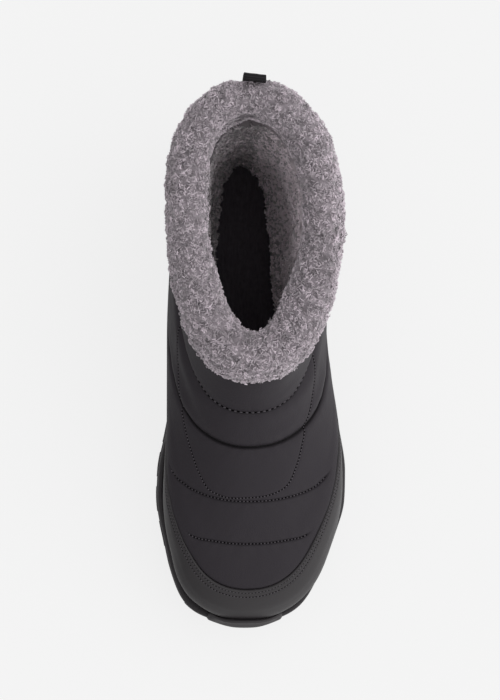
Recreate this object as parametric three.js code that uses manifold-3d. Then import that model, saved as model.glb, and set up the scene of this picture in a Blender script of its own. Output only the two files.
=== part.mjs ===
// A left foot's winter bootie: a padded pull-on upper with a fleece cuff and lining, a smooth rand around its
// foot, a pull loop at the heel, a footbed, a midsole and a lugged outsole with a toe bumper.
// Millimetres. +X is the outer (lateral) side, -Y the toe, +Z up. The origin is under the middle of its box.
import * as THREE from "three";
import { mergeVertices } from "three/addons/utils/BufferGeometryUtils.js";
import Module from "manifold-3d";

// Driving sizes of the whole boot
const soleLength = 268;
const ballWidth = 100;
const ballHeight = 22; // floor to the upper's lower edge, under the ball
const heelHeight = 31; // the same under the heel
const upperHeight = 136; // from the ball's platform to the top edge at the back
const collarFall = 8; // how much lower the top edge is at the front
const toeSpring = 11;
const archLift = 3;

// Sole
const lugDepth = 3.5;
const lugLength = 13;
const lugGap = 5.5;
const lugWidth = 19;
const lugProud = 0.3; // how far the side lugs stand out past the plate
const centreLug = 32; // width of a middle lug
const archBars = 4;
const lugZones = [
  { from: 0, to: 0.3 },
  { from: 0.52, to: 0.93 },
];
const plateThickness = 4;
const plateRound = 0.7;
const toeRound = 0.265; // length of the sole's rounded ends, as shares of its length
const heelRound = 0.13;
const toePower = 2.1; // how square those ends are
const heelPower = 2.2;
const rimWidth = 5.5; // from the sole's edge in to the upper
const rimHeight = 2.6;
const grooveDepth = 1.4;
const sideInset = 0.4; // how far the midsole's side stands back from the sole's edge
const bumperThickness = 2.2;
const bumperWidth = 40;
const bumperRise = 6; // above the midsole's rim
const bumperProud = 0.9; // how far it stands out past the sole's edge
const bumperFall = 1.2; // how much its top edge falls to both sides, in radians of a cosine

// Upper and what is sewn to it
const wall = 2.4;
const puffDepth = 2.4;
const guardThickness = 1.3;
const guardBevel = 0.4;
const insoleThickness = 5;
const insoleRound = 1.5;
const liningRoom = 2; // between the footbed's edge and the wall
const liningGap = 1.35; // between the lining and the wall
const liningDepth = 9.5; // the pile in the shaft
const liningRounding = 3; // how much of it is taken off under the cuff
const liningToe = 3.5; // the pile over the toes
const liningHeel = 3; // how much deeper the pile is round the heel, by the footbed
const liningFoot = 2; // how much deeper it is along the footbed
const cuffOut = 9.5; // fleece outside the wall
const cuffIn = 7; // fleece inside the wall
const cuffTop = 8; // fleece above the wall's top edge
const cuffDrop = 25; // how far the fleece comes down
const cuffHem = 2; // how far the slot for the wall stops above the fleece's lower edge
const hemRoom = 1; // from the fleece's lower edge down to the padding
const lockHeight = 1.5; // tufts that stand out of the fleece
const tabWidth = 12;
const tabThickness = 1.3;
const tabSlot = 1; // between the loop's two layers
const tabFoot = 12; // how far it reaches down below the cuff
const tabRise = 1.5; // above the cuff

const gap = 0.3; // between pieces that touch
const layerGap = 0.45; // between layers that curve two ways
const rimPlay = 0.5; // between the midsole's rim and the rand
const around = 54; // steps around the foot
const liningAround = 28;
const cuffAround = 58;

// Half widths of the sole from the line that joins heel and toe, as shares of the ball width.
const soleWidths = [
  { at: 0.0, outer: 0.355, inner: 0.355 },
  { at: 0.15, outer: 0.36, inner: 0.355 },
  { at: 0.29, outer: 0.365, inner: 0.345 },
  { at: 0.4, outer: 0.385, inner: 0.335 },
  { at: 0.52, outer: 0.445, inner: 0.37 },
  { at: 0.62, outer: 0.505, inner: 0.42 },
  { at: 0.7, outer: 0.535, inner: 0.462 },
  { at: 0.76, outer: 0.532, inner: 0.469 },
  { at: 0.83, outer: 0.505, inner: 0.462 },
  { at: 0.9, outer: 0.492, inner: 0.485 },
  { at: 1.0, outer: 0.51, inner: 0.55 },
];

// Half widths of the upper where it is fullest, as shares of the ball width.
const upperWidths = [
  { at: 0.0, outer: 0.325, inner: 0.325 },
  { at: 0.13, outer: 0.335, inner: 0.335 },
  { at: 0.22, outer: 0.35, inner: 0.355 },
  { at: 0.33, outer: 0.375, inner: 0.385 },
  { at: 0.44, outer: 0.39, inner: 0.395 },
  { at: 0.52, outer: 0.42, inner: 0.395 },
  { at: 0.59, outer: 0.45, inner: 0.395 },
  { at: 0.66, outer: 0.473, inner: 0.403 },
  { at: 0.73, outer: 0.48, inner: 0.412 },
  { at: 0.85, outer: 0.465, inner: 0.42 },
  { at: 0.94, outer: 0.5, inner: 0.49 },
];

// Level slices through the upper. up: share of the upper's height. front, back: the slice's two ends, and
// frontRound, backRound: how long its rounded ends are, as shares of the sole's length.
const slices = [
  { up: -0.02, front: 0.963, back: 0.027, frontRound: 0.25, backRound: 0.12 },
  { up: 0.06, front: 0.974, back: 0.023, frontRound: 0.25, backRound: 0.12 },
  { up: 0.132, front: 0.98, back: 0.017, frontRound: 0.25, backRound: 0.125 },
  { up: 0.19, front: 0.964, back: 0.014, frontRound: 0.28, backRound: 0.13 },
  { up: 0.22, front: 0.946, back: 0.013, frontRound: 0.31, backRound: 0.13 },
  { up: 0.243, front: 0.922, back: 0.012, frontRound: 0.34, backRound: 0.135 },
  { up: 0.268, front: 0.888, back: 0.012, frontRound: 0.37, backRound: 0.14 },
  { up: 0.294, front: 0.84, back: 0.013, frontRound: 0.39, backRound: 0.145 },
  { up: 0.36, front: 0.755, back: 0.015, frontRound: 0.41, backRound: 0.16 },
  { up: 0.463, front: 0.651, back: 0.018, frontRound: 0.385, backRound: 0.17 },
  { up: 0.574, front: 0.58, back: 0.02, frontRound: 0.325, backRound: 0.17 },
  { up: 0.684, front: 0.534, back: 0.02, frontRound: 0.285, backRound: 0.168 },
  { up: 0.794, front: 0.499, back: 0.017, frontRound: 0.26, backRound: 0.166 },
  { up: 0.904, front: 0.479, back: 0.013, frontRound: 0.25, backRound: 0.165 },
  { up: 1.02, front: 0.464, back: 0.009, frontRound: 0.245, backRound: 0.165 },
];

// The shaft. outer, inner: its half widths, as shares of the ball width. leg: how far a level slice is
// shaft, from 0 where it follows the foot to 1.
const shaftWidths = [
  { up: 0.132, outer: 0.4, inner: 0.4, leg: 0 },
  { up: 0.19, outer: 0.4, inner: 0.4, leg: 0 },
  { up: 0.22, outer: 0.4, inner: 0.4, leg: 0.02 },
  { up: 0.243, outer: 0.4, inner: 0.4, leg: 0.04 },
  { up: 0.268, outer: 0.4, inner: 0.4, leg: 0.07 },
  { up: 0.294, outer: 0.398, inner: 0.398, leg: 0.12 },
  { up: 0.36, outer: 0.39, inner: 0.39, leg: 0.3 },
  { up: 0.463, outer: 0.38, inner: 0.378, leg: 0.7 },
  { up: 0.574, outer: 0.364, inner: 0.36, leg: 1 },
  { up: 0.684, outer: 0.352, inner: 0.343, leg: 1 },
  { up: 0.794, outer: 0.343, inner: 0.33, leg: 1 },
  { up: 0.904, outer: 0.337, inner: 0.321, leg: 1 },
  { up: 1.02, outer: 0.333, inner: 0.315, leg: 1 },
];

const fullestUp = 0.14; // the toe recedes above this share of the upper's height
const frontPower = 2.15; // how square the rounded ends are: 2 is an ellipse
const backPower = 2.4;
const outerSlack = 1.28; // how much longer the shaft's back is rounded on its outer side
const fullAbove = 0.16; // of the upper's height, from its lower edge to where it is fullest
const guardShares = [0, 0.12, 0.36, 0.58, 0.76, 0.9, 1]; // rings from the lower edge to the rand's edge
const squareFoot = 8; // within this of its lower edge the upper's face stands straight up

// Heights along the sole: of the platform as shares of the heel's extra height and of the toe spring, and of
// the tread as shares of the toe spring and of the arch's lift. The two flats of the tread are at 0.
const soleHeights = [
  { at: 0.0, heel: 1.0, toe: 0, spring: 0.16, arch: 0 },
  { at: 0.06, heel: 1.0, toe: 0, spring: 0, arch: 0 },
  { at: 0.27, heel: 0.9, toe: 0, spring: 0, arch: 0 },
  { at: 0.42, heel: 0.47, toe: 0, spring: 0, arch: 1 },
  { at: 0.56, heel: 0.1, toe: 0, spring: 0, arch: 0 },
  { at: 0.74, heel: 0, toe: 0, spring: 0, arch: 0 },
  { at: 0.86, heel: 0, toe: 0.27, spring: 0.25, arch: 0 },
  { at: 0.95, heel: 0, toe: 0.65, spring: 0.7, arch: 0 },
  { at: 1.0, heel: 0, toe: 0.85, spring: 1, arch: 0 },
];

// The rand's top edge above the ball's platform along the boot, as shares of the upper's height.
const guardHeights = [
  { at: 0.0, outer: 0.335, inner: 0.335 },
  { at: 0.1, outer: 0.325, inner: 0.325 },
  { at: 0.22, outer: 0.275, inner: 0.27 },
  { at: 0.35, outer: 0.24, inner: 0.225 },
  { at: 0.5, outer: 0.235, inner: 0.212 },
  { at: 0.62, outer: 0.243, inner: 0.215 },
  { at: 0.72, outer: 0.246, inner: 0.222 },
  { at: 0.8, outer: 0.243, inner: 0.23 },
  { at: 0.87, outer: 0.24, inner: 0.236 },
  { at: 0.925, outer: 0.242, inner: 0.242 },
  { at: 0.98, outer: 0.25, inner: 0.25 },
];

// The quilting lines from the rand up to the cuff. over: where a line crosses the middle of the foot, as a
// share of the sole's length. shaft: its height at the heel, as a share of the upper's height. fall: how
// steeply it starts down the side. Where a line would pass under the rand, it runs along the rand's edge.
const quiltLines = [
  { over: 0.8385, shaft: 0.1, fall: 3 },
  { over: 0.753, shaft: 0.145, fall: 1.8 },
  { over: 0.648, shaft: 0.3, fall: 0.9 },
  { over: 0.582, shaft: 0.5, fall: 0.8 },
];
const lineSpacing = 1.4; // between lines along the rand's edge
const lineTurn = 3; // how softly a line turns to follow it
const fullPanel = 18; // a panel at least this wide has the whole padding

const wasm = await Module();
wasm.setup();

const clamp = (v, low, high) => Math.min(Math.max(v, low), high);
const mix = (a, b, share) => a + (b - a) * share;
const ease = (v) => clamp(v, 0, 1) ** 2 * (3 - 2 * clamp(v, 0, 1));

// A smooth curve through a table's rows that never overshoots them.
function curve(rows, across, value) {
  const x = rows.map((row) => row[across]);
  const y = rows.map((row) => row[value]);
  const rise = x.slice(1).map((next, i) => (y[i + 1] - y[i]) / (next - x[i]));
  const slope = x.map((_, i) => {
    const before = rise[Math.max(i - 1, 0)];
    const after = rise[Math.min(i, rise.length - 1)];
    return before * after <= 0 ? 0 : (2 * before * after) / (before + after);
  });
  return (at) => {
    const v = clamp(at, x[0], x[x.length - 1]);
    let i = 0;
    while (i < x.length - 2 && v > x[i + 1]) i += 1;
    const h = x[i + 1] - x[i];
    const r = (v - x[i]) / h;
    const start = (1 + 2 * r) * (1 - r) ** 2 * y[i] + r * (1 - r) ** 2 * h * slope[i];
    return start + r ** 2 * (3 - 2 * r) * y[i + 1] - r ** 2 * (1 - r) * h * slope[i + 1];
  };
}

const soleHalf = { 1: curve(soleWidths, "at", "outer"), "-1": curve(soleWidths, "at", "inner") };
const upperHalf = { 1: curve(upperWidths, "at", "outer"), "-1": curve(upperWidths, "at", "inner") };
const shaftHalf = { 1: curve(shaftWidths, "up", "outer"), "-1": curve(shaftWidths, "up", "inner") };
const legShare = curve(shaftWidths, "up", "leg");
const slice = Object.fromEntries(Object.keys(slices[0]).map((name) => [name, curve(slices, "up", name)]));
const heelShare = curve(soleHeights, "at", "heel");
const toeShare = curve(soleHeights, "at", "toe");
const springShare = curve(soleHeights, "at", "spring");
const archShare = curve(soleHeights, "at", "arch");
const guardShare = { 1: curve(guardHeights, "at", "outer"), "-1": curve(guardHeights, "at", "inner") };

// station is the distance from the back of the heel towards the toe.
function platform(station) {
  const at = station / soleLength;
  return ballHeight + (heelHeight - ballHeight) * heelShare(at) + toeSpring * toeShare(at);
}

function tread(station) {
  const at = station / soleLength;
  return toeSpring * springShare(at) + archLift * archShare(at);
}

// How wide a rounded end is at a distance from its tip, as a share of the full width.
function rounded(distance, length, power) {
  const r = clamp(distance / length, 0, 1);
  return (1 - (1 - r) ** power) ** (1 / power);
}

// u runs once around: 0 at the toe, a quarter on the outer side, a half at the heel. Both sides of one
// station have u and 1 - u.
const sideOf = (u) => (u <= 0.5 ? 1 : -1);
const backward = (u) => (1 - Math.cos(2 * Math.PI * u)) / 2;

// The sole's half width at a station, moved out by a distance.
function soleReach(station, side, out = 0) {
  const toe = rounded(soleLength + out - station, toeRound * soleLength, toePower);
  const heel = rounded(station + out, heelRound * soleLength, heelPower);
  return (ballWidth * soleHalf[side](clamp(station / soleLength, 0, 1)) + out) * toe * heel;
}

// The sole's edge in plan, moved out by a distance.
function soleEdge(u, out = 0) {
  const station = mix(soleLength + out, -out, backward(u));
  return { x: sideOf(u) * soleReach(station, sideOf(u), out), station };
}

function edgePoint(u, out, z) {
  const { x, station } = soleEdge(u, out);
  return new THREE.Vector3(x, -station, z);
}

const edgeRing = (out, height) => ring(around, (u) => edgePoint(u, out, height(soleEdge(u, out).station)));

// A point of the upper's smooth outer face, at a place u around it and at a height z.
function skinPoint(u, z) {
  const up = (z - ballHeight) / upperHeight;
  const side = sideOf(((u % 1) + 1) % 1);
  const front = slice.front(up) * soleLength;
  const back = slice.back(up) * soleLength;
  const station = mix(front, back, backward(u));
  const at = station / soleLength;
  const rise = ease((z - platform(station)) / (fullAbove * upperHeight));
  const foot = mix(ballWidth * soleHalf[side](at) - rimWidth, ballWidth * upperHalf[side](at), rise);
  const leg = legShare(up);
  const half = mix(foot, ballWidth * shaftHalf[side](up), leg);
  const slack = mix(1, outerSlack, side > 0 ? leg : 0);
  const toeEnd = rounded(front - station, slice.frontRound(up) * soleLength, frontPower);
  const heelEnd = rounded(station - back, slice.backRound(up) * soleLength * slack, backPower / slack ** 0.5);
  return new THREE.Vector3(side * half * toeEnd * heelEnd, -station, z);
}

function skinNormal(u, z) {
  const du = 0.004;
  const dz = 0.4;
  const along = skinPoint(u + du, z).sub(skinPoint(u - du, z));
  const upward = skinPoint(u, z + dz).sub(skinPoint(u, z - dz));
  return along.cross(upward).normalize();
}

function skin(u, z, out = 0) {
  const point = skinPoint(u, z);
  const normal = skinNormal(u, z);
  normal.z *= ease((z - platform(-point.y)) / squareFoot);
  return point.addScaledVector(normal.normalize(), out);
}

// The value between low and high at which a rising function is 0.
function solve(low, high, rising) {
  let [a, b] = [low, high];
  for (let i = 0; i < 40; i += 1) {
    const middle = (a + b) / 2;
    if (rising(middle) < 0) a = middle;
    else b = middle;
  }
  return (a + b) / 2;
}

// The height at which a curve over the stations meets the skin at u.
function heightAt(u, heightOver) {
  const top = ballHeight + upperHeight;
  return solve(0, top, (z) => z - heightOver(-skinPoint(u, z).y));
}

const lowEdge = (u) => heightAt(u, platform) + gap;
const topEdge = (u) => ballHeight + upperHeight - collarFall * (1 - backward(u));
const guardEdge = (u) => {
  const share = guardShare[sideOf(u)];
  return heightAt(u, (station) => ballHeight + upperHeight * share(station / soleLength));
};

// A quilting line seen from the side: down from the instep, then level towards the heel.
function lineHeight({ over, shaft, fall }) {
  const crossing = over * soleLength;
  const crest = solve(fullestUp, 1, (up) => crossing - slice.front(up) * soleLength) * upperHeight;
  const drop = crest - shaft * upperHeight;
  const reach = Math.abs(drop) / fall;
  return (station) => ballHeight + crest - drop * (1 - Math.exp(Math.min(station - crossing, 0) / reach));
}
const lineHeights = quiltLines.map(lineHeight);

// The heights at u of the edges that the padding lies between: the upper's lower edge, the rand's edge, each
// quilting line, the cuff's edge and the upper's top edge.
const stops = new Map();
function stopsAt(u) {
  if (stops.has(u)) return stops.get(u);
  const guard = guardEdge(u);
  const lines = lineHeights.map((over, i) => {
    const line = heightAt(u, over);
    const lowest = guard + (i + 1) * lineSpacing;
    return (line + lowest + Math.hypot(line - lowest, lineTurn)) / 2;
  });
  const heights = [lowEdge(u), guard, ...lines, topEdge(u) - cuffDrop - hemRoom, topEdge(u)];
  stops.set(u, heights);
  return heights;
}

// level counts from the lower edge: 1 is the rand's edge, 2 the first quilting line, and so on.
const cuffLevel = quiltLines.length + 2;
const topLevel = cuffLevel + 1;
function levelHeight(u, level) {
  const at = stopsAt(u);
  const below = Math.min(Math.floor(level), topLevel - 1);
  return mix(at[below], at[below + 1], level - below);
}

// How far the padding stands out: most in the middle of a panel, nothing along its edges.
function puff(u, level) {
  const below = Math.floor(level);
  if (below < 1 || below >= cuffLevel) return 0;
  const span = skinPoint(u, levelHeight(u, below)).distanceTo(skinPoint(u, levelHeight(u, below + 1)));
  return puffDepth * ease(span / fullPanel) * (1 - (2 * (level - below) - 1) ** 2);
}

// A mesh from rings of the same number of points, turned so that its faces point out.
function solidMesh(points, faces) {
  const positions = points.flatMap((p) => [p.x, p.y, p.z]);
  let volume = 0;
  for (const [a, b, c] of faces) volume += points[a].dot(points[b].clone().cross(points[c])) / 6;
  const turned = volume < 0 ? faces.map(([a, b, c]) => [a, c, b]) : faces;
  const geometry = new THREE.BufferGeometry();
  geometry.setAttribute("position", new THREE.Float32BufferAttribute(positions, 3));
  geometry.setIndex(turned.flat());
  return geometry;
}

function bandFaces(rings, closed) {
  const count = rings[0].length;
  const faces = [];
  const bands = closed ? rings.length : rings.length - 1;
  for (let r = 0; r < bands; r += 1) {
    const low = r * count;
    const high = ((r + 1) % rings.length) * count;
    for (let i = 0; i < count; i += 1) {
      const next = (i + 1) % count;
      faces.push([low + i, low + next, high + next], [low + i, high + next, high + i]);
    }
  }
  return faces;
}

// Rings that close on themselves: up the outside of a wall and down its inside.
function wallSolid(rings) {
  return solidMesh(rings.flat(), bandFaces(rings, true));
}

// Rings stacked from below, closed at both ends by strips across the foot.
function stackSolid(rings) {
  const count = rings[0].length;
  const faces = bandFaces(rings, false);
  for (const [ring, turn] of [[0, false], [rings.length - 1, true]]) {
    const first = ring * count;
    for (let i = 0; i < count / 2; i += 1) {
      const outer = [first + i, first + i + 1];
      const inner = [first + ((count - i) % count), first + count - i - 1];
      const pair = [[outer[0], outer[1], inner[1]], [outer[0], inner[1], inner[0]]];
      for (const face of pair) {
        if (new Set(face).size === 3) faces.push(turn ? face : [face[0], face[2], face[1]]);
      }
    }
  }
  return solidMesh(rings.flat(), faces);
}

const ring = (count, place) => Array.from({ length: count }, (_, i) => place(i / count));
const range = (count) => Array.from({ length: count + 1 }, (_, i) => i / count);

function toSolid(geometry) {
  const bare = geometry.clone();
  bare.deleteAttribute("normal");
  bare.deleteAttribute("uv");
  const merged = mergeVertices(bare, 1e-4);
  return new wasm.Manifold(
    new wasm.Mesh({
      numProp: 3,
      vertProperties: merged.attributes.position.array,
      triVerts: new Uint32Array(merged.index.array),
    }),
  );
}

function fromSolid(solid) {
  const mesh = solid.getMesh();
  const geometry = new THREE.BufferGeometry();
  geometry.setAttribute("position", new THREE.BufferAttribute(mesh.vertProperties, mesh.numProp));
  geometry.setIndex(new THREE.BufferAttribute(mesh.triVerts, 1));
  return geometry;
}

// The level just over the footbed.
const footLevel = (u) => (insoleThickness + 2 * gap) / (levelHeight(u, 1) - lowEdge(u));

// A ring off the upper's face at a level, which may be the footbed's.
function faceRing(level, out, steps = around) {
  return ring(steps, (u) => {
    const at = level === "foot" ? footLevel(u) : level;
    return skin(u, levelHeight(u, at), out(u, at));
  });
}

// The levels of the wall's inner face and of the lining, from the cuff down to the footbed.
const innerLevels = [...Array.from({ length: cuffLevel }, (_, i) => cuffLevel - i), 0.6, "foot"];

// The padded upper: one wall, open at the cuff and underneath.
function upperGeometry() {
  const panels = Array.from({ length: cuffLevel - 1 }, (_, i) => i + 1);
  const padded = panels.flatMap((panel) => [panel, panel + 0.25, panel + 0.7]);
  const outside = [...guardShares.slice(0, -1), ...padded];
  const inside = [topLevel, topLevel - 0.5, ...innerLevels, 0];
  return wallSolid([
    ...[...outside, cuffLevel, topLevel - 0.5, topLevel].map((level) => faceRing(level, puff)),
    ...inside.map((level) => faceRing(level, () => -wall)),
  ]);
}

// The rand: a band around the foot, higher over the toes and at the heel.
function guardGeometry() {
  const place = (level, out) => ring(around, (u) => skin(u, levelHeight(u, level), out));
  const outer = layerGap + guardThickness;
  const outside = guardShares.map((level) => place(level, level < 1 ? outer : outer - guardBevel));
  const inside = [...guardShares].reverse().map((level) => place(level, layerGap));
  return wallSolid([...outside, ...inside]);
}

// The fleece cuff: a roll over the upper's top edge, with a slot for the wall and with tufts that stand out.
function cuffGeometry() {
  const inner = wall + layerGap;
  const slotMiddle = (cuffDrop + hemRoom) / 2;
  const roll = [
    { out: layerGap, down: cuffDrop - cuffHem },
    { out: 0.55 * cuffOut, down: cuffDrop },
    { out: 0.9 * cuffOut, down: 0.82 * cuffDrop },
    { out: cuffOut, down: 0.56 * cuffDrop },
    { out: cuffOut, down: 0.28 * cuffDrop },
    { out: 0.9 * cuffOut, down: 0 },
    { out: 0.62 * cuffOut, down: -0.62 * cuffTop },
    { out: 0.2 * cuffOut, down: -0.95 * cuffTop },
    { out: -inner - 0.2 * cuffIn, down: -0.95 * cuffTop },
    { out: -inner - 0.62 * cuffIn, down: -0.62 * cuffTop },
    { out: -inner - 0.9 * cuffIn, down: 0 },
    { out: -inner - cuffIn, down: 0.28 * cuffDrop },
    { out: -inner - cuffIn, down: 0.56 * cuffDrop },
    { out: -inner - 0.85 * cuffIn, down: 0.82 * cuffDrop },
    { out: -inner, down: cuffDrop - cuffHem },
    { out: -inner, down: slotMiddle },
    { out: -inner, down: -gap },
    { out: layerGap, down: -gap },
    { out: layerGap, down: slotMiddle },
  ];
  const tufted = roll.length - 5; // the last points are the slot
  const place = (u, { out, down }, tuft) => {
    const middle = -inner / 2;
    const away = new THREE.Vector2(out - middle, Math.max(-down, 0)).setLength(tuft);
    const above = Math.max(-down, 0) + away.y;
    return skin(u, topEdge(u) - Math.max(down, 0), out + away.x).add(new THREE.Vector3(0, 0, above));
  };
  const rings = roll.map((at, row) =>
    ring(cuffAround, (u) => {
      const step = Math.round(u * cuffAround);
      const raised = row > 0 && row < tufted && row % 2 === 1 && (step + (row - 1) / 2) % 2 === 0;
      const uneven = 0.75 + 0.25 * Math.sin(step * 2.4 + row * 1.7);
      return place(u, at, raised ? lockHeight * uneven : 0);
    }),
  );
  return fromSolid(toSolid(wallSolid(rings)).subtract(toSolid(tabGroove())));
}

// How deep the lining is: thin over the toes, full in the shaft, deepest round the heel by the footbed, and
// rounded off under the cuff.
function pileDepth(u, level) {
  const height = levelHeight(u, level);
  const top = levelHeight(u, cuffLevel);
  const shaft = ease((0.75 * soleLength + skinPoint(u, height).y) / (0.25 * soleLength));
  const heel = ease((backward(u) - 0.6) / 0.4);
  const low = ease((top - height) / (top - lowEdge(u)));
  const full = mix(liningToe, liningDepth, shaft) + low * shaft * (liningFoot + liningHeel * heel);
  return full - liningRounding * ease(1 - (top - height) / cuffDrop);
}

// The fleece lining, from the footbed up to the cuff.
function liningGeometry() {
  const face = -wall - liningGap;
  const inside = innerLevels.filter((level) => level === "foot" || level >= 1);
  return wallSolid([
    ...[...innerLevels].reverse().map((level) => faceRing(level, () => face, liningAround)),
    ...inside.map((level) => faceRing(level, (u, at) => face - pileDepth(u, at), liningAround)),
  ]);
}

// The footbed, inside the wall and on the midsole.
function insoleGeometry() {
  const inset = -wall - gap - liningRoom;
  const layers = [
    { up: 0, taken: 1 },
    { up: 0.25, taken: 0 },
    { up: 0.8, taken: 0 },
    { up: 1, taken: 1 },
  ];
  return stackSolid(
    layers.map(({ up, taken }) =>
      ring(around, (u) => skin(u, lowEdge(u) + up * insoleThickness, inset - taken * insoleRound)),
    ),
  );
}

// The midsole: a groove around its side, and a rim that stands up around the upper.
function midsoleGeometry() {
  const bottom = (station) => tread(station) + lugDepth + plateThickness + gap;
  const side = [
    { up: 0, inset: 3 * sideInset },
    { up: 0.1, inset: sideInset },
    { up: 0.42, inset: sideInset },
    { up: 0.47, inset: sideInset + grooveDepth },
    { up: 0.57, inset: sideInset + grooveDepth },
    { up: 0.62, inset: sideInset },
    { up: 1, inset: 2 * sideInset },
  ];
  const shoulder = (station) => platform(station) + 0.4 * rimHeight;
  const rings = side.map(({ up, inset }) => edgeRing(-inset, (s) => mix(bottom(s), shoulder(s), up)));
  rings.push(edgeRing(-4 * sideInset, (s) => platform(s) + rimHeight));
  const beside = layerGap + guardThickness + rimPlay;
  for (const rise of [rimHeight, 0]) {
    rings.push(ring(around, (u) => skin(u, lowEdge(u) - gap + rise, beside)));
  }
  const bare = toSolid(stackSolid(rings));
  return fromSolid(bare.subtract(toSolid(bumperGeometry(gap))));
}

// The rubber that laps up over the toe. grown makes it larger all round, to cut its seat.
function bumperGeometry(grown) {
  const reach = solve(0, 0.2, (u) => soleEdge(u).x - bumperWidth / 2 - grown);
  const lap = layerGap + guardThickness + rimPlay - grown;
  const columns = range(10).map((share) => {
    const turn = mix(-reach, reach, share);
    const u = (turn + 1) % 1;
    const { station } = soleEdge(u);
    const rim = platform(station) + rimHeight;
    const crest = rim + bumperRise * Math.cos((turn / reach) * bumperFall) + grown;
    const root = tread(station) + lugDepth + 0.4 * plateThickness - grown;
    const deep = rim + gap - grown;
    return {
      face: [
        edgePoint(u, bumperProud + grown, root),
        edgePoint(u, bumperProud + grown, platform(station)),
        edgePoint(u, grown - 0.7 * bumperProud, rim + gap + bumperThickness + grown),
        skin(u, crest, lap + bumperThickness + 2 * grown),
      ],
      back: [
        edgePoint(u, -bumperThickness - grown, root),
        edgePoint(u, -bumperThickness - grown, platform(station) - bumperThickness),
        skin(u, deep, lap),
        skin(u, crest, lap),
      ],
    };
  });
  return sweptSolid(columns);
}

// A strip from columns that each have a face and a back with as many points, closed at both ends.
function sweptSolid(columns) {
  const points = columns.flatMap(({ face, back }) => [...face, ...back]);
  const tall = columns[0].face.length;
  const at = (column, layer, level) => (column * 2 + layer) * tall + level;
  const faces = [];
  const quad = (a, b, c, d) => faces.push([a, b, c], [a, c, d]);
  const last = columns.length - 1;
  for (let c = 0; c < last; c += 1) {
    for (let l = 0; l < tall - 1; l += 1) {
      quad(at(c, 0, l), at(c + 1, 0, l), at(c + 1, 0, l + 1), at(c, 0, l + 1));
      quad(at(c, 1, l), at(c, 1, l + 1), at(c + 1, 1, l + 1), at(c + 1, 1, l));
    }
    quad(at(c, 0, 0), at(c, 1, 0), at(c + 1, 1, 0), at(c + 1, 0, 0));
    quad(at(c, 0, tall - 1), at(c + 1, 0, tall - 1), at(c + 1, 1, tall - 1), at(c, 1, tall - 1));
  }
  for (let l = 0; l < tall - 1; l += 1) {
    quad(at(0, 0, l), at(0, 0, l + 1), at(0, 1, l + 1), at(0, 1, l));
    quad(at(last, 0, l), at(last, 1, l), at(last, 1, l + 1), at(last, 0, l + 1));
  }
  return solidMesh(points, faces);
}

// The outsole: a plate, lugs cut from a slab that follows the tread's curve, and the toe bumper.
function outsoleGeometry() {
  const over = (share) => (s) => tread(s) + lugDepth + share * plateThickness;
  const plate = stackSolid([
    edgeRing(-plateRound, over(0)),
    edgeRing(0, over(0.3)),
    edgeRing(0, over(0.8)),
    edgeRing(-plateRound, over(1)),
  ]);
  const slab = stackSolid([edgeRing(lugProud - plateRound, tread), edgeRing(lugProud, over(0.8))]);
  const blocks = [];
  const block = (corners) => {
    const shape = new THREE.Shape(corners.map(([x, station]) => new THREE.Vector2(x, -station)));
    const tall = new THREE.ExtrudeGeometry(shape, { depth: 2 * heelHeight, bevelEnabled: false });
    blocks.push(toSolid(tall.translate(0, 0, -heelHeight)));
  };
  const pitch = lugLength + lugGap;
  const slant = 0.25 * lugLength;
  for (const { from, to } of lugZones) {
    const count = Math.floor(((to - from) * soleLength) / pitch);
    for (let i = 0; i < count; i += 1) {
      const start = from * soleLength + i * pitch;
      const end = start + lugLength;
      for (const side of [1, -1]) {
        const far = side * (soleReach((start + end) / 2, side) + lugWidth);
        const near = far - side * 2 * lugWidth;
        block([[near, start + slant], [far, start], [far, end], [near, end + slant]]);
      }
      if (i === count - 1) continue;
      const middle = (start + end + pitch) / 2;
      const [wide, half] = [centreLug / 2, lugLength / 2];
      block([
        [-wide, middle],
        [-wide / 2, middle - half],
        [wide / 2, middle - half],
        [wide, middle],
        [wide / 2, middle + half],
        [-wide / 2, middle + half],
      ]);
    }
  }
  const toeBar = lugZones[lugZones.length - 1].to * soleLength;
  const beyond = 2 * soleLength;
  block([[-centreLug, toeBar], [centreLug, toeBar], [centreLug, beyond], [-centreLug, beyond]]);
  for (let i = 0; i < archBars; i += 1) {
    const start = mix(lugZones[0].to, lugZones[1].from, (i + 0.6) / archBars) * soleLength;
    const wide = 0.7 * centreLug;
    block([[-wide, start], [wide, start], [wide, start + lugGap], [-wide, start + lugGap]]);
  }
  const pattern = wasm.Manifold.union(blocks);
  const lugs = pattern.intersect(toSolid(slab));
  return fromSolid(toSolid(plate).add(lugs).add(toSolid(bumperGeometry(0))));
}

// The pull loop's route, from its foot on the shaft up over the cuff, some way out from the shaft.
function tabRoute(out) {
  const top = topEdge(0.5);
  const foot = top - cuffDrop - tabFoot;
  const clear = gap + puff(0.5, solve(0, topLevel, (level) => levelHeight(0.5, level) - foot));
  const route = [
    { z: foot, proud: clear },
    { z: top - cuffDrop - 0.3 * tabFoot, proud: clear },
    { z: top - 0.75 * cuffDrop, proud: 0.55 * cuffOut },
    { z: top - 0.45 * cuffDrop, proud: 0.72 * cuffOut },
    { z: top, proud: 0.78 * cuffOut },
    { z: top + cuffTop + tabRise, proud: 0.78 * cuffOut },
  ];
  return route.map(({ z, proud }) => skin(0.5, Math.min(z, top), proud + out).setZ(z));
}

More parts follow.
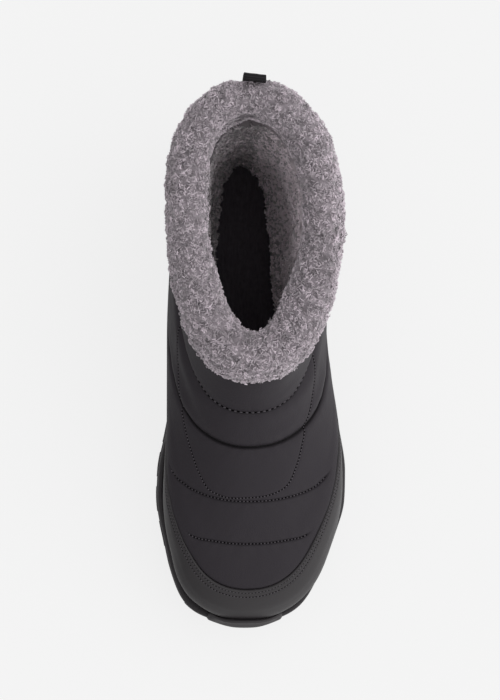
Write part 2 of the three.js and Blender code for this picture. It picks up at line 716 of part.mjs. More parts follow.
// The pull loop: webbing folded double, sewn to the shaft below the cuff and lying over it.
function tabGeometry() {
  const thick = 2 * tabThickness + tabSlot;
  const near = tabRoute(0);
  const far = tabRoute(thick).map((point, i) => (i < 2 ? point.setY(near[i].y + 2 * tabThickness) : point));
  const crown = near[near.length - 1];
  const bend = range(6).slice(1, -1).map((share) => {
    const turn = Math.PI * share;
    const y = crown.y + (thick / 2) * (1 - Math.cos(turn));
    return new THREE.Vector3(0, y, crown.z + (thick / 2) * Math.sin(turn));
  });
  const strap = extrudeAcross([...near, ...bend, ...far.reverse()], tabWidth);
  const slotNear = tabRoute(tabThickness).slice(2);
  const slotFar = tabRoute(tabThickness + tabSlot).slice(2).reverse();
  return fromSolid(toSolid(strap).subtract(toSolid(extrudeAcross([...slotNear, ...slotFar], 2 * tabWidth))));
}

// The groove that the loop presses into the fleece.
function tabGroove() {
  const near = tabRoute(-gap);
  const beyond = 3 * cuffOut;
  const far = [near[near.length - 1], near[0]].map((point) => point.clone().setY(near[0].y + beyond));
  return extrudeAcross([...near, ...far], tabWidth + 2 * gap);
}

// A side view, given as points with y and z, made as wide as told and centred on the boot's line.
function extrudeAcross(points, width) {
  const shape = new THREE.Shape(points.map((p) => new THREE.Vector2(p.y, p.z)));
  const geometry = new THREE.ExtrudeGeometry(shape, { depth: width, bevelEnabled: false });
  const turned = new THREE.Matrix4().makeBasis(
    new THREE.Vector3(0, 1, 0),
    new THREE.Vector3(0, 0, 1),
    new THREE.Vector3(1, 0, 0),
  );
  return geometry.applyMatrix4(turned).translate(-width / 2, 0, 0);
}

const finishes = {
  rubber: new THREE.MeshStandardMaterial({ color: 0x2b292b, roughness: 0.7, metalness: 0 }),
  foam: new THREE.MeshStandardMaterial({ color: 0x322f31, roughness: 0.75, metalness: 0 }),
  nylon: new THREE.MeshStandardMaterial({ color: 0x343236, roughness: 0.6, metalness: 0 }),
  coated: new THREE.MeshStandardMaterial({ color: 0x383636, roughness: 0.5, metalness: 0 }),
  fleece: new THREE.MeshStandardMaterial({ color: 0x8a8488, roughness: 0.95, metalness: 0 }),
  felt: new THREE.MeshStandardMaterial({ color: 0x151516, roughness: 0.9, metalness: 0 }),
  webbing: new THREE.MeshStandardMaterial({ color: 0x262527, roughness: 0.8, metalness: 0 }),
};

const boot = new THREE.Group();
function addPiece(name, geometry, finish) {
  const mesh = new THREE.Mesh(geometry, finish);
  mesh.name = name;
  boot.add(mesh);
}
addPiece("outsole", outsoleGeometry(), finishes.rubber);
addPiece("midsole", midsoleGeometry(), finishes.foam);
addPiece("insole", insoleGeometry(), finishes.felt);
addPiece("upper", upperGeometry(), finishes.nylon);
addPiece("lining", liningGeometry(), finishes.fleece);
addPiece("rand", guardGeometry(), finishes.coated);
addPiece("fleece_cuff", cuffGeometry(), finishes.fleece);
addPiece("pull_loop", tabGeometry(), finishes.webbing);

// The origin is on the floor, under the middle of the boot's box.
const box = new THREE.Box3().setFromObject(boot);
boot.position.set(-(box.min.x + box.max.x) / 2, -(box.min.y + box.max.y) / 2, -box.min.z);

export default boot;
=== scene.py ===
import math
import bpy
import numpy as np
from mathutils import Matrix, Vector


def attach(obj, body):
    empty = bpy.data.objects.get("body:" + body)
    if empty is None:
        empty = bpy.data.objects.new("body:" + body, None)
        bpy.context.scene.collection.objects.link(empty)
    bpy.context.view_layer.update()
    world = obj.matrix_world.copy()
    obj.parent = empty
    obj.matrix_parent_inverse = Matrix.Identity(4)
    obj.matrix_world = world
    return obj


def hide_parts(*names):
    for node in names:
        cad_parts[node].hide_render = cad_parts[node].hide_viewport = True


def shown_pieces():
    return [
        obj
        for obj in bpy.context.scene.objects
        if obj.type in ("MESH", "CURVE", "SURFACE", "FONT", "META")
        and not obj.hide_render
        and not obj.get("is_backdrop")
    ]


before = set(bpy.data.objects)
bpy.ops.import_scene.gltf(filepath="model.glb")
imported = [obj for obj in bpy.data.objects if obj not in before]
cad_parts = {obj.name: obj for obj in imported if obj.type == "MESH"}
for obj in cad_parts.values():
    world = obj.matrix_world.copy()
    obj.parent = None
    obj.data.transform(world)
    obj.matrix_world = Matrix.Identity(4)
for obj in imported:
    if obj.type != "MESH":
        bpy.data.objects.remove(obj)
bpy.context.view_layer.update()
rng = np.random.default_rng(11)
print("stage: frame loaded")

# Sizes are in millimetres, as a maker would state them, and turn into metres when a mesh is made.
# Raw places count from the back of the heel along -y; the shift puts them into the frame.
boot = {
    "soleLength": 268, "ballWidth": 100, "ballHeight": 22, "heelHeight": 31, "upperHeight": 136,
    "collarFall": 8, "toeSpring": 11, "archLift": 3,
    "shift": (-3.335, 130.256, 0.0),
    "toeRound": 0.265, "heelRound": 0.13, "toePower": 2.1, "heelPower": 2.2,
    "rimWidth": 5.5, "rimHeight": 2.6, "wall": 2.4, "gap": 0.3, "layerGap": 0.45, "rimPlay": 0.5,
    "guardThickness": 1.3, "cuffDrop": 25, "cuffTop": 8, "hemRoom": 1,
    "frontPower": 2.15, "backPower": 2.4, "outerSlack": 1.28, "fullAbove": 0.16, "fullestUp": 0.14,
    "squareFoot": 8, "lineSpacing": 1.4, "lineTurn": 3,
}
toeCorners = {"outer": 1.5, "inner": 1.9, "at": 0.062, "width": 0.03}  # how much fuller the sole is there

# at, outer, inner: half widths in shares of the ball's width, along the sole
soleWidths = [
    (0, .355, .355), (.15, .36, .355), (.29, .365, .345), (.4, .385, .335), (.52, .445, .37), (.62, .505, .42),
    (.7, .535, .462), (.76, .532, .469), (.83, .505, .462), (.9, .492, .485), (1, .51, .55),
]
upperWidths = [
    (0, .325, .325), (.13, .335, .335), (.22, .35, .355), (.33, .375, .385), (.44, .39, .395), (.52, .42, .395),
    (.59, .45, .395), (.66, .473, .403), (.73, .48, .412), (.85, .465, .42), (.94, .5, .49),
]
# up, front, back, frontRound, backRound: each level slice of the upper, in shares of the sole's length
slices = [
    (-.02, .963, .027, .25, .12), (.06, .974, .023, .25, .12), (.132, .98, .017, .25, .125),
    (.19, .964, .014, .28, .13), (.22, .946, .013, .31, .13), (.243, .922, .012, .34, .135),
    (.268, .888, .012, .37, .14), (.294, .84, .013, .39, .145), (.36, .755, .015, .41, .16),
    (.463, .651, .018, .385, .17), (.574, .58, .02, .325, .17), (.684, .534, .02, .285, .168),
    (.794, .499, .017, .26, .166), (.904, .479, .013, .25, .165), (1.02, .464, .009, .245, .165),
]
# up, outer, inner, leg: half widths of the shaft, and how much of it is leg and not foot
shaftWidths = [
    (.132, .4, .4, 0), (.19, .4, .4, 0), (.22, .4, .4, .02), (.243, .4, .4, .04), (.268, .4, .4, .07),
    (.294, .398, .398, .12), (.36, .39, .39, .3), (.463, .38, .378, .7), (.574, .364, .36, 1),
    (.684, .352, .343, 1), (.794, .343, .33, 1), (.904, .337, .321, 1), (1.02, .333, .315, 1),
]
# at, heel, toe, spring, arch: what share of each rise the sole has along its length
soleHeights = [
    (0, 1, 0, .16, 0), (.06, 1, 0, 0, 0), (.27, .9, 0, 0, 0), (.42, .47, 0, 0, 1), (.56, .1, 0, 0, 0),
    (.74, 0, 0, 0, 0), (.86, 0, .27, .25, 0), (.95, 0, .65, .7, 0), (1, 0, .85, 1, 0),
]
# at, outer, inner: the rand's upper edge over the ball's height, in shares of the upper's height
guardHeights = [
    (0, .335, .335), (.1, .325, .325), (.22, .275, .27), (.35, .24, .225), (.5, .235, .212), (.62, .243, .215),
    (.72, .246, .222), (.8, .243, .23), (.87, .24, .236), (.925, .242, .242), (.98, .25, .25),
]
# over, shaft, fall: the quilting lines from the toe up to the cuff
quiltLines = [(.8385, .1, 3), (.753, .145, 1.8), (.648, .3, .9), (.582, .5, .8)]


def ease(v):
    v = np.clip(v, 0, 1)
    return v * v * (3 - 2 * v)


def mix(a, b, share):
    return a + (b - a) * share


def bell(distance, width):
    return np.exp(-(distance / width) ** 2)


def curve(rows, column):
    # A cubic through the rows whose slope at each row is the harmonic mean of its neighbours' rises.
    t = np.array(rows, float)
    x, y = t[:, 0], t[:, column]
    rise = np.diff(y) / np.diff(x)
    before, after = np.r_[rise[0], rise], np.r_[rise, rise[-1]]
    both = before * after
    slope = np.where(both > 0, 2 * both / np.where(both > 0, before + after, 1), 0)

    def at(v):
        v = np.clip(v, x[0], x[-1])
        i = np.clip(np.searchsorted(x, v, side="right") - 1, 0, len(x) - 2)
        h = x[i + 1] - x[i]
        r = (v - x[i]) / h
        start = (1 + 2 * r) * (1 - r) ** 2 * y[i] + r * (1 - r) ** 2 * h * slope[i]
        return start + r ** 2 * (3 - 2 * r) * y[i + 1] - r ** 2 * (1 - r) * h * slope[i + 1]
    return at


soleOuter, soleInner = curve(soleWidths, 1), curve(soleWidths, 2)
upperOuter, upperInner = curve(upperWidths, 1), curve(upperWidths, 2)
frontAt, backAt, frontRoundAt, backRoundAt = (curve(slices, k) for k in (1, 2, 3, 4))
shaftOuter, shaftInner, legAt = (curve(shaftWidths, k) for k in (1, 2, 3))
heelShare, toeShare, springShare, archShare = (curve(soleHeights, k) for k in (1, 2, 3, 4))
guardOuter, guardInner = curve(guardHeights, 1), curve(guardHeights, 2)


def platform(station):  # top of the midsole, station in mm from the back of the heel
    at = station / boot["soleLength"]
    heel = (boot["heelHeight"] - boot["ballHeight"]) * heelShare(at)
    return boot["ballHeight"] + heel + boot["toeSpring"] * toeShare(at)


def tread(station):  # underside of the sole
    at = station / boot["soleLength"]
    return boot["toeSpring"] * springShare(at) + boot["archLift"] * archShare(at)


def halved(below, low, high, rounds=34):  # the place where below turns from true to false
    for _ in range(rounds):
        middle = (low + high) / 2
        under = below(middle)
        low, high = np.where(under, middle, low), np.where(under, high, middle)
    return (low + high) / 2


def rounded(distance, length, power):  # a superellipse from 0 at an end to 1 at the length
    r = np.clip(distance / length, 0, 1)
    return (1 - (1 - r) ** power) ** (1 / power)


def sideOf(u):  # u: 0 toe, .25 outer side, .5 heel, .75 inner side
    return np.where(np.mod(u, 1) <= 0.5, 1.0, -1.0)


def backward(u):  # 0 at the toe, 1 at the heel
    return (1 - np.cos(2 * np.pi * u)) / 2


def fromToe(u):
    return np.abs(np.mod(u + 0.5, 1) - 0.5)


def around(count):  # values of u, evenly once round
    return np.arange(count) / count


def soleReach(station, side, out=0.0):  # half width of the sole, with a superellipse at each end
    toe = rounded(boot["soleLength"] + out - station, boot["toeRound"] * boot["soleLength"], boot["toePower"])
    heel = rounded(station + out, boot["heelRound"] * boot["soleLength"], boot["heelPower"])
    at = np.clip(station / boot["soleLength"], 0, 1)
    half = np.where(side > 0, soleOuter(at), soleInner(at))
    return (boot["ballWidth"] * half + out) * toe * heel


def edgePoint(u, out, height):
    # The sole's outline moved out, a little more at the toe corners, at a height that may follow the station.
    fuller = np.where(sideOf(u) > 0, toeCorners["outer"], toeCorners["inner"])
    out = out + fuller * bell(fromToe(u) - toeCorners["at"], toeCorners["width"])
    station = mix(boot["soleLength"] + out, -out, backward(u))
    side = sideOf(u)
    z = height(station) if callable(height) else height
    return np.stack([side * soleReach(station, side, out), -station, z + 0 * station], -1)


def skinPoint(u, z):
    # A level slice runs from its front to its back; its half width is the foot's or the shaft's, and both
    # ends are rounded off by superellipses.
    u, z = np.broadcast_arrays(np.asarray(u, float), np.asarray(z, float))
    up = (z - boot["ballHeight"]) / boot["upperHeight"]
    side = sideOf(u)
    length, width = boot["soleLength"], boot["ballWidth"]
    front, back = frontAt(up) * length, backAt(up) * length
    station = mix(front, back, backward(u))
    at = station / length
    rise = ease((z - platform(station)) / (boot["fullAbove"] * boot["upperHeight"]))
    sole = width * np.where(side > 0, soleOuter(at), soleInner(at)) - boot["rimWidth"]
    foot = mix(sole, width * np.where(side > 0, upperOuter(at), upperInner(at)), rise)
    leg = legAt(up)
    half = mix(foot, width * np.where(side > 0, shaftOuter(up), shaftInner(up)), leg)
    slack = mix(1, boot["outerSlack"], np.where(side > 0, leg, 0))
    toeEnd = rounded(front - station, frontRoundAt(up) * length, boot["frontPower"])
    power = boot["backPower"] / np.sqrt(slack)
    heelEnd = rounded(station - back, backRoundAt(up) * length * slack, power)
    return np.stack([side * half * toeEnd * heelEnd, -station, z + 0 * station], -1)


def unit(v):
    return v / np.maximum(np.linalg.norm(v, axis=-1, keepdims=True), 1e-9)


def skinNormal(u, z, stepU=0.004, stepZ=0.4):
    # Square to the skin's two directions, and level where the skin meets the sole.
    along = skinPoint(u + stepU, z) - skinPoint(u - stepU, z)
    upward = skinPoint(u, z + stepZ) - skinPoint(u, z - stepZ)
    normal = unit(np.cross(along, upward))
    square = ease((z - platform(-skinPoint(u, z)[..., 1])) / boot["squareFoot"])
    normal[..., 2] *= square
    return unit(normal)


def skin(u, z, out=0.0):  # the skin moved out along its normal
    u, z = np.broadcast_arrays(np.asarray(u, float), np.asarray(z, float))
    out = np.broadcast_to(np.asarray(out, float), u.shape)
    return skinPoint(u, z) + skinNormal(u, z) * out[..., None]


def heightAt(u, over):  # the height where a curve over the stations meets the skin at u
    low, high = np.zeros_like(u), np.full_like(u, boot["ballHeight"] + boot["upperHeight"])
    return halved(lambda z: z < over(-skinPoint(u, z)[..., 1]), low, high)


def lowEdge(u):
    return heightAt(u, platform) + boot["gap"]


def topEdge(u):
    return boot["ballHeight"] + boot["upperHeight"] - boot["collarFall"] * (1 - backward(u))


def lineHeight(over, shaft, fall):
    # A quilting line over the stations: it crosses the instep at its crest and nears the shaft's height
    # behind that as an exponential.
    length, tall = boot["soleLength"], boot["upperHeight"]
    crossing = over * length
    crest = float(halved(lambda up: frontAt(up) * length > crossing, boot["fullestUp"], 1.0, 40)) * tall
    drop = crest - shaft * tall
    reach = abs(drop) / fall

    def at(station):
        return boot["ballHeight"] + crest - drop * (1 - np.exp(np.minimum(station - crossing, 0) / reach))
    return at


def guardHeight(u):
    outerSide = sideOf(u) > 0

    def over(station):
        at = station / boot["soleLength"]
        return boot["ballHeight"] + boot["upperHeight"] * np.where(outerSide, guardOuter(at), guardInner(at))
    return heightAt(u, over)


# Heights of the edges that the padding lies between, on a fine ring, then read off for any u.
ringU = np.linspace(0, 1, 1441)
ringGuard = guardHeight(ringU)
ringStops = [lowEdge(ringU), ringGuard]
ringFree = [np.ones_like(ringU)] * 2  # 0 where a line has run into the rand
for i, row in enumerate(quiltLines):
    line, lowest = heightAt(ringU, lineHeight(*row)), ringGuard + (i + 1) * boot["lineSpacing"]
    ringStops.append((line + lowest + np.hypot(line - lowest, boot["lineTurn"])) / 2)
    ringFree.append(ease((line - lowest + 2) / 4))
ringFree.append(np.ones_like(ringU))
ringStops += [topEdge(ringU) - boot["cuffDrop"] - boot["hemRoom"], topEdge(ringU)]
cuffLevel, topLevel = 6, 7


def levelHeight(u, level):  # level 0 is the sole's edge, 1 the rand's, 2 to 5 the quilting lines', 6 the cuff's
    u, level = np.broadcast_arrays(np.asarray(u, float), np.asarray(level, float))
    stops = np.stack([np.interp(np.mod(u, 1), ringU, stop) for stop in ringStops])
    below = np.clip(np.floor(level).astype(int), 0, topLevel - 1)
    low = np.take_along_axis(stops, below[None], 0)[0]
    high = np.take_along_axis(stops, below[None] + 1, 0)[0]
    return mix(low, high, level - below)


def waves(points, size, seed, octaves=3):
    # Smooth unevenness from -1 to 1: sums of sine waves that run in seeded directions.
    made = np.random.default_rng(seed)
    perOctave, finer, weaker, gain = 5, 1.8, 0.6, 1.7
    total = np.zeros(points.shape[:-1])
    for octave in range(octaves):
        for _ in range(perOctave):
            way = unit(made.normal(size=3)) * 2 * np.pi / (size / finer ** octave) * made.uniform(0.7, 1.3)
            total += np.sin(points @ way + made.uniform(0, 6.28)) * weaker ** octave
    return total / (perOctave * sum(weaker ** k for k in range(octaves))) * gain


def meshFrom(name, points, faces, uv=None, tone=None):  # places in millimetres, faces by their corners
    data = bpy.data.meshes.new(name)
    points = (np.asarray(points, float).reshape(-1, 3) + boot["shift"]) / 1000
    loops = np.concatenate([f.ravel() for f in faces])
    sizes = np.concatenate([np.full(len(f), f.shape[1]) for f in faces])
    data.vertices.add(len(points))
    data.vertices.foreach_set("co", points.astype(np.float32).ravel())
    data.loops.add(len(loops))
    data.loops.foreach_set("vertex_index", loops.astype(np.int32))
    data.polygons.add(len(sizes))
    data.polygons.foreach_set("loop_start", np.r_[0, np.cumsum(sizes)[:-1]].astype(np.int32))
    data.polygons.foreach_set("use_smooth", np.ones(len(sizes), bool))
    if uv is not None:
        layer = data.uv_layers.new(name="weave")
        layer.data.foreach_set("uv", np.asarray(uv, np.float32).reshape(-1, 2)[loops].ravel())
    if tone is not None:
        layer = data.attributes.new("tone", "FLOAT", "POINT")
        layer.data.foreach_set("value", np.asarray(tone, np.float32).ravel())
    data.update(calc_edges=True)
    data.validate()
    made = bpy.data.objects.new(name, data)
    bpy.context.scene.collection.objects.link(made)
    return made


def bandFaces(rows, columns, loop):
    # Quads between neighbouring rows of a ring grid; loop joins the last row to the first one.
    r = np.arange(rows if loop else rows - 1)[:, None]
    c = np.arange(columns)[None]
    low, high, after = r * columns, ((r + 1) % rows) * columns, (c + 1) % columns
    return np.stack([low + c, low + after, high + after, high + c], -1).reshape(-1, 4)


def outwards(points, faces):
    # Turns the faces round where the volume that they enclose is negative.
    p = np.asarray(points, float).reshape(-1, 3)
    total = 0.0
    for f in faces:
        for k in range(1, f.shape[1] - 1):
            total += np.einsum("ij,ij->", p[f[:, 0]], np.cross(p[f[:, k]], p[f[:, k + 1]]))
    return faces if total > 0 else [f[:, ::-1] for f in faces]


def wallPiece(name, rings, tone=None):  # rings that close on themselves
    points = np.stack(rings)
    return meshFrom(name, points, outwards(points, [bandFaces(*points.shape[:2], True)]), tone=tone)


def stackBody(rings):
    # Rings from below, closed at both ends by strips across the foot, between u and 1 - u.
    points = np.stack(rings)
    rows, columns = points.shape[:2]
    half, i = columns // 2, np.arange(1, columns // 2 - 1)
    quads, tris = [bandFaces(rows, columns, False)], []
    for row, turn in ((0, False), (rows - 1, True)):
        strip = np.stack([i, i + 1, columns - i - 1, columns - i], -1) + row * columns
        ends = np.array([[0, 1, columns - 1], [half, half + 1, half - 1]]) + row * columns
        quads.append(strip if turn else strip[:, ::-1])
        tris.append(ends if turn else ends[:, ::-1])
    return points, outwards(points, [np.concatenate(quads), np.concatenate(tris)])


def chaikin(points, rounds=2, closed=True):
    # Cuts each corner at a quarter and three quarters of its edges, along the last axis but one.
    for _ in range(rounds):
        after = np.roll(points, -1, -2)
        near, far = mix(points, after, 0.25), mix(points, after, 0.75)
        cut = np.stack([near, far], -2).reshape(*points.shape[:-2], -1, points.shape[-1])
        if not closed:
            cut = np.concatenate([points[..., :1, :], cut[..., 1:-3, :], points[..., -1:, :]], -2)
        points = cut
    return points


def loftBody(loops):
    # Closed loops of the same number of points, one after another, with a fan on each end.
    points = np.asarray(loops, float)
    rows, columns = points.shape[:2]
    every = np.concatenate([points.reshape(-1, 3), points[0].mean(0)[None], points[-1].mean(0)[None]])
    i = np.arange(columns)
    first = np.stack([np.full(columns, rows * columns), (i + 1) % columns, i], -1)
    last = np.stack([np.full(columns, rows * columns + 1), i, (i + 1) % columns], -1)
    last[:, 1:] += (rows - 1) * columns
    return every, outwards(every, [bandFaces(rows, columns, False), np.concatenate([first, last])])


def joined(parts):
    # Several bodies, each points and faces, as one set.
    points, quads, tris, start = [], [], [], 0
    for p, faces in parts:
        points.append(np.asarray(p).reshape(-1, 3))
        for f in faces:
            (quads if f.shape[1] == 4 else tris).append(f + start)
        start += len(points[-1])
    return np.concatenate(points), [np.concatenate(quads), np.concatenate(tris)]


def nearest(points, path, batch=4000):
    # Distance from each point to the nearest point of a dense path, and that one's number.
    flat = points.reshape(-1, 3)
    away, which = np.empty(len(flat)), np.empty(len(flat), int)
    for s in range(0, len(flat), batch):
        d = ((flat[s:s + batch, None] - path[None]) ** 2).sum(-1)
        away[s:s + batch], which[s:s + batch] = np.sqrt(d.min(1)), d.argmin(1)
    return away.reshape(points.shape[:-1]), which.reshape(points.shape[:-1])


class Value:
    # A shader socket that takes part in sums; each sum adds one Math node.
    def __init__(self, shader, socket):
        self.shader, self.socket = shader, socket

    def maths(self, operation, *others, swap=False, clamp=False):
        terms = [*others, self] if swap else [self, *others]
        return self.shader.add("ShaderNodeMath", {"operation": operation, "use_clamp": clamp}, dict(enumerate(terms)))

    def __add__(self, other): return self.maths("ADD", other)
    def __radd__(self, other): return self.maths("ADD", other)
    def __sub__(self, other): return self.maths("SUBTRACT", other)
    def __rsub__(self, other): return self.maths("SUBTRACT", other, swap=True)
    def __mul__(self, other): return self.maths("MULTIPLY", other)
    def __rmul__(self, other): return self.maths("MULTIPLY", other)
    def __truediv__(self, other): return self.maths("DIVIDE", other)
    def __rtruediv__(self, other): return self.maths("DIVIDE", other, swap=True)


class Shader:
    # The nodes of one material, or of the world, and the node that they lead to.
    def __init__(self, name, kind="materials", **constants):
        self.block = getattr(bpy.data, kind).new(name)
        self.block.use_nodes = True
        self.tree = self.block.node_tree
        self.surface = next(n for n in self.tree.nodes if n.type in ("BSDF_PRINCIPLED", "BACKGROUND"))
        for socket, value in constants.items():
            self.surface.inputs[socket.replace("_", " ")].default_value = value

    def add(self, kind, settings=None, inputs=None, out=0):
        node = self.tree.nodes.new(kind)
        for key, value in (settings or {}).items():
            setattr(node, key, value)
        for key, value in (inputs or {}).items():
            if isinstance(value, Value):
                self.tree.links.new(value.socket, node.inputs[key])
            else:
                node.inputs[key].default_value = value
        return Value(self, node.outputs[out])

    def place(self):
        return self.add("ShaderNodeTexCoord", out="Object")

    def attribute(self, name):
        return self.add("ShaderNodeAttribute", {"attribute_name": name}, out="Fac")

    def noise(self, scale, detail=3, rough=0.5):
        return self.add("ShaderNodeTexNoise", None, {
            "Vector": self.place(), "Scale": scale, "Detail": detail, "Roughness": rough})

    def bands(self, where, direction, scale, distortion, detail=2.0):
        return self.add("ShaderNodeTexWave", {"wave_type": "BANDS", "bands_direction": direction}, {
            "Vector": where, "Scale": scale, "Distortion": distortion, "Detail": detail})

    def cells(self, feature, scale):
        inputs = {"Vector": self.place(), "Scale": scale}
        return self.add("ShaderNodeTexVoronoi", {"feature": feature}, inputs, "Distance")

    def mixed(self, share, a, b):
        ends = {k: c if isinstance(c, Value) else (*c, 1) for k, c in ((6, a), (7, b))}
        return self.add("ShaderNodeMix", {"data_type": "RGBA"}, {0: share, **ends}, 2)

    def feed(self, socket, value):
        self.tree.links.new(value.socket, self.surface.inputs[socket])

    def bump(self, height, strength, distance, under=None):
        inputs = {"Height": height, "Strength": strength, "Distance": distance}
        if under:
            inputs["Normal"] = under
        return self.add("ShaderNodeBump", None, inputs)

    def clouded(self, size, dark, light, rough, uneven):  # broad clouds in the colour and in the gloss
        clouds = self.noise(size, 4, 0.6)
        self.feed("Base Color", self.mixed(clouds, dark, light))
        self.feed("Roughness", rough + uneven * clouds)


def dress(piece, shader, node=None):
    piece.data.materials.clear()
    piece.data.materials.append(shader.block)
    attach(piece, "root")
    if node:
        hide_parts(node)
    return piece


def grey(v, warm=0.0):  # a grey of linear value v with a touch of mauve, or of brown where it is warm
    return (v * (1 + warm), v * (0.88 + 0.6 * warm), v * (1.02 - warm))


# The camera stands where the photograph's did; pixels is the distance of a picture of the frame's size.
view = {"camera": (-54.9, -3.9, 1600), "target": (0.0, 6.8, 0.0), "pixels": 2984, "longSide": 700, "sensor": 36}
camera = bpy.data.objects.new("camera", bpy.data.cameras.new("camera"))
bpy.context.scene.collection.objects.link(camera)
camera.data.sensor_width = view["sensor"]
camera.data.lens = view["pixels"] * view["sensor"] / view["longSide"]
camera.location = Vector(view["camera"]) / 1000
camera.rotation_mode = "QUATERNION"
sight = (Vector(view["target"]) - Vector(view["camera"])).normalized()
rightward = sight.cross(Vector((0, 1, 0))).normalized()
camera.rotation_quaternion = Matrix((rightward, rightward.cross(sight), -sight)).transposed().to_quaternion()
bpy.context.scene.camera = camera

studio = {
    "world": 0.82, "worldSide": 0.4, "sun": 0.35, "from": (0.55, 0.25, 1.0), "spread": 0.8,
    "floor": 0.12, "glow": 0.8, "bounce": 0.6, "bounceSide": 0.4, "sideReach": 0.2,
}
sky = Shader("studio", "worlds", Color=(1, 1, 1, 1))
towards = sky.add("ShaderNodeSeparateXYZ", None, {0: sky.add("ShaderNodeTexCoord", out="Generated")}, "X")
sky.feed("Strength", towards * studio["worldSide"] + studio["world"])  # brighter from the boot's outer side
bpy.context.scene.world = sky.block
bpy.context.scene.view_settings.view_transform = "Standard"
lamp = bpy.data.objects.new("key", bpy.data.lights.new("key", "SUN"))
lamp.data.energy, lamp.data.angle = studio["sun"], studio["spread"]
lamp.rotation_mode = "QUATERNION"
lamp.rotation_quaternion = (-Vector(studio["from"])).to_track_quat("-Z", "Y")
bpy.context.scene.collection.objects.link(lamp)
floorMesh = bpy.data.meshes.new("floor")
floorMesh.from_pydata([(-3, -3, 0), (3, -3, 0), (3, 3, 0), (-3, 3, 0)], [], [(0, 1, 2, 3)])
floor = bpy.data.objects.new("floor", floorMesh)
bpy.context.scene.collection.objects.link(floor)
# The floor glows evenly where the camera sees it, and lights the boot less from its inner side.
paper = Shader("paper", Roughness=0.9, Specular_IOR_Level=0.0, Emission_Strength=1.0,
               Base_Color=(studio["floor"],) * 3 + (1,))
seen = paper.add("ShaderNodeLightPath", out="Is Camera Ray")
fromMiddle = paper.add("ShaderNodeSeparateXYZ", None, {0: paper.place()}, "X")
outerSide = (fromMiddle / studio["sideReach"]).maths("MINIMUM", 1.0).maths("MAXIMUM", -1.0)
bounce = outerSide * studio["bounceSide"] + studio["bounce"]
paper.feed("Emission Color", paper.mixed(seen, bounce, (studio["glow"],) * 3))
floor.data.materials.append(paper.block)
floor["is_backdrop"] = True
print("stage: camera, light and floor")

# The padded upper
upperLooks = {
    "columns": 480, "panelRows": (22, 26, 34, 28, 22), "puff": 1.9, "pinchWidth": 0.5, "deepest": 0.8,
    "foldLine": 4, "overhang": 0.6, "overhangAt": 5, "overhangWidth": 4.5, "uneven": 0.35, "unevenSize": 38,
    "gathers": 0.13, "gatherWidth": 4.0, "gatherLength": 6.0, "gatherTurn": 2.2, "gatherSize": 22,
    "creaseRidge": 0.45, "creaseRidgeAt": 1.9, "seamDepth": 0.45, "seamWidth": 0.7, "channelShadeWidth": 0.5,
    # line: the colour of the painted shade down in the channels
    "dark": (0.0190, 0.0160, 0.0196), "light": (0.0290, 0.0246, 0.0300), "line": (0.002, 0.0018, 0.002),
}
# depth, above, below, pinch, power, dark: how the padding sinks at each edge, and how strong the painted
# shade in its channel is, from the rand's up to the cuff's
edgeShapes = [
    (.5, 1.6, 1, 0, 1.3, .5), (1.1, 1.6, 1.6, .7, 1.3, .4), (1.3, 1.8, 1.8, .7, 1.3, .4),
    (2.6, 3.4, .7, .5, .75, .9), (2.3, 3.4, 2.2, .7, 1, .6), (1.2, 1, 4, 0, 1.3, 0),
]
# The vamp seam, as u and height: down the inner side of the instep, round over the toes, and up the outer side.
vampSeam = [
    (.780, 132), (.780, 123), (.782, 114), (.786, 105), (.792, 96), (.803, 86), (.818, 77.9), (.831, 73.8),
    (.845, 72.1), (.857, 71.3), (.870, 70.6), (.885, 70.1), (.903, 69.5), (.921, 69.2), (.943, 70.3), (.966, 71.4),
    (.985, 72.2), (1.004, 72.5), (1.022, 72.3), (1.046, 71.8), (1.063, 71.4), (1.074, 71.7), (1.084, 72.8),
    (1.095, 74.3), (1.105, 76.1), (1.117, 77.9), (1.130, 79), (1.143, 80.4), (1.157, 84), (1.172, 91), (1.185, 101),
    (1.195, 112), (1.202, 122), (1.206, 132),
]
# depth, width, way: creases, each way through places on the skin as u and height
creases = [
    (0.5, 3.2, [(.10, 96), (.13, 92), (.17, 90), (.21, 91)]),
    (0.5, 3.2, [(.90, 96), (.87, 92), (.83, 90.5), (.79, 91.5)]),
    (0.35, 3.5, [(.05, 86), (.09, 82.5), (.13, 80), (.18, 79)]),
    (0.4, 3.5, [(.95, 86.5), (.91, 83), (.87, 81), (.82, 80.5)]),
    (0.45, 4, [(.30, 98), (.36, 95), (.42, 96)]),
    (0.45, 4, [(.70, 99), (.65, 96), (.58, 95)]),
    (0.4, 4, [(.44, 88), (.50, 86), (.56, 88)]),
    (0.4, 4, [(.24, 80), (.29, 76), (.35, 75)]),
    (0.4, 4, [(.77, 81), (.72, 77), (.66, 76)]),
    (0.3, 3.5, [(.02, 112), (.06, 108), (.11, 106)]),
]


def smoothWay(way, count=70):
    # A Catmull-Rom curve through given points.
    w = np.array(way, float)
    w = np.concatenate([[2 * w[0] - w[1]], w, [2 * w[-1] - w[-2]]])
    t = np.linspace(0, len(way) - 1 - 1e-6, count)
    i, r = np.floor(t).astype(int), (t % 1)[:, None]
    a, b, c, d = w[i], w[i + 1], w[i + 2], w[i + 3]
    return 0.5 * (2 * b + (c - a) * r + (2 * a - 5 * b + 4 * c - d) * r ** 2 + (3 * b - a - 3 * c + d) * r ** 3)


vampWay = smoothWay(vampSeam, 380)
vampPath = skinPoint(*vampWay.T)


def levelOf(u, z):  # the level at which the skin has a height
    return halved(lambda level: levelHeight(u, level) < z, np.zeros_like(u), np.full_like(u, topLevel), 28)


def freeShare(u, edge):  # 0 where an edge has run into the rand
    return np.interp(np.mod(u, 1), ringU, ringFree[edge])


def fromEdge(base, u, edge):  # how far places on the skin lie from an edge at the same u, and its height
    at = levelHeight(u, np.full(base.shape[:-1], edge))
    return np.linalg.norm(base - skinPoint(u, at), axis=-1), at


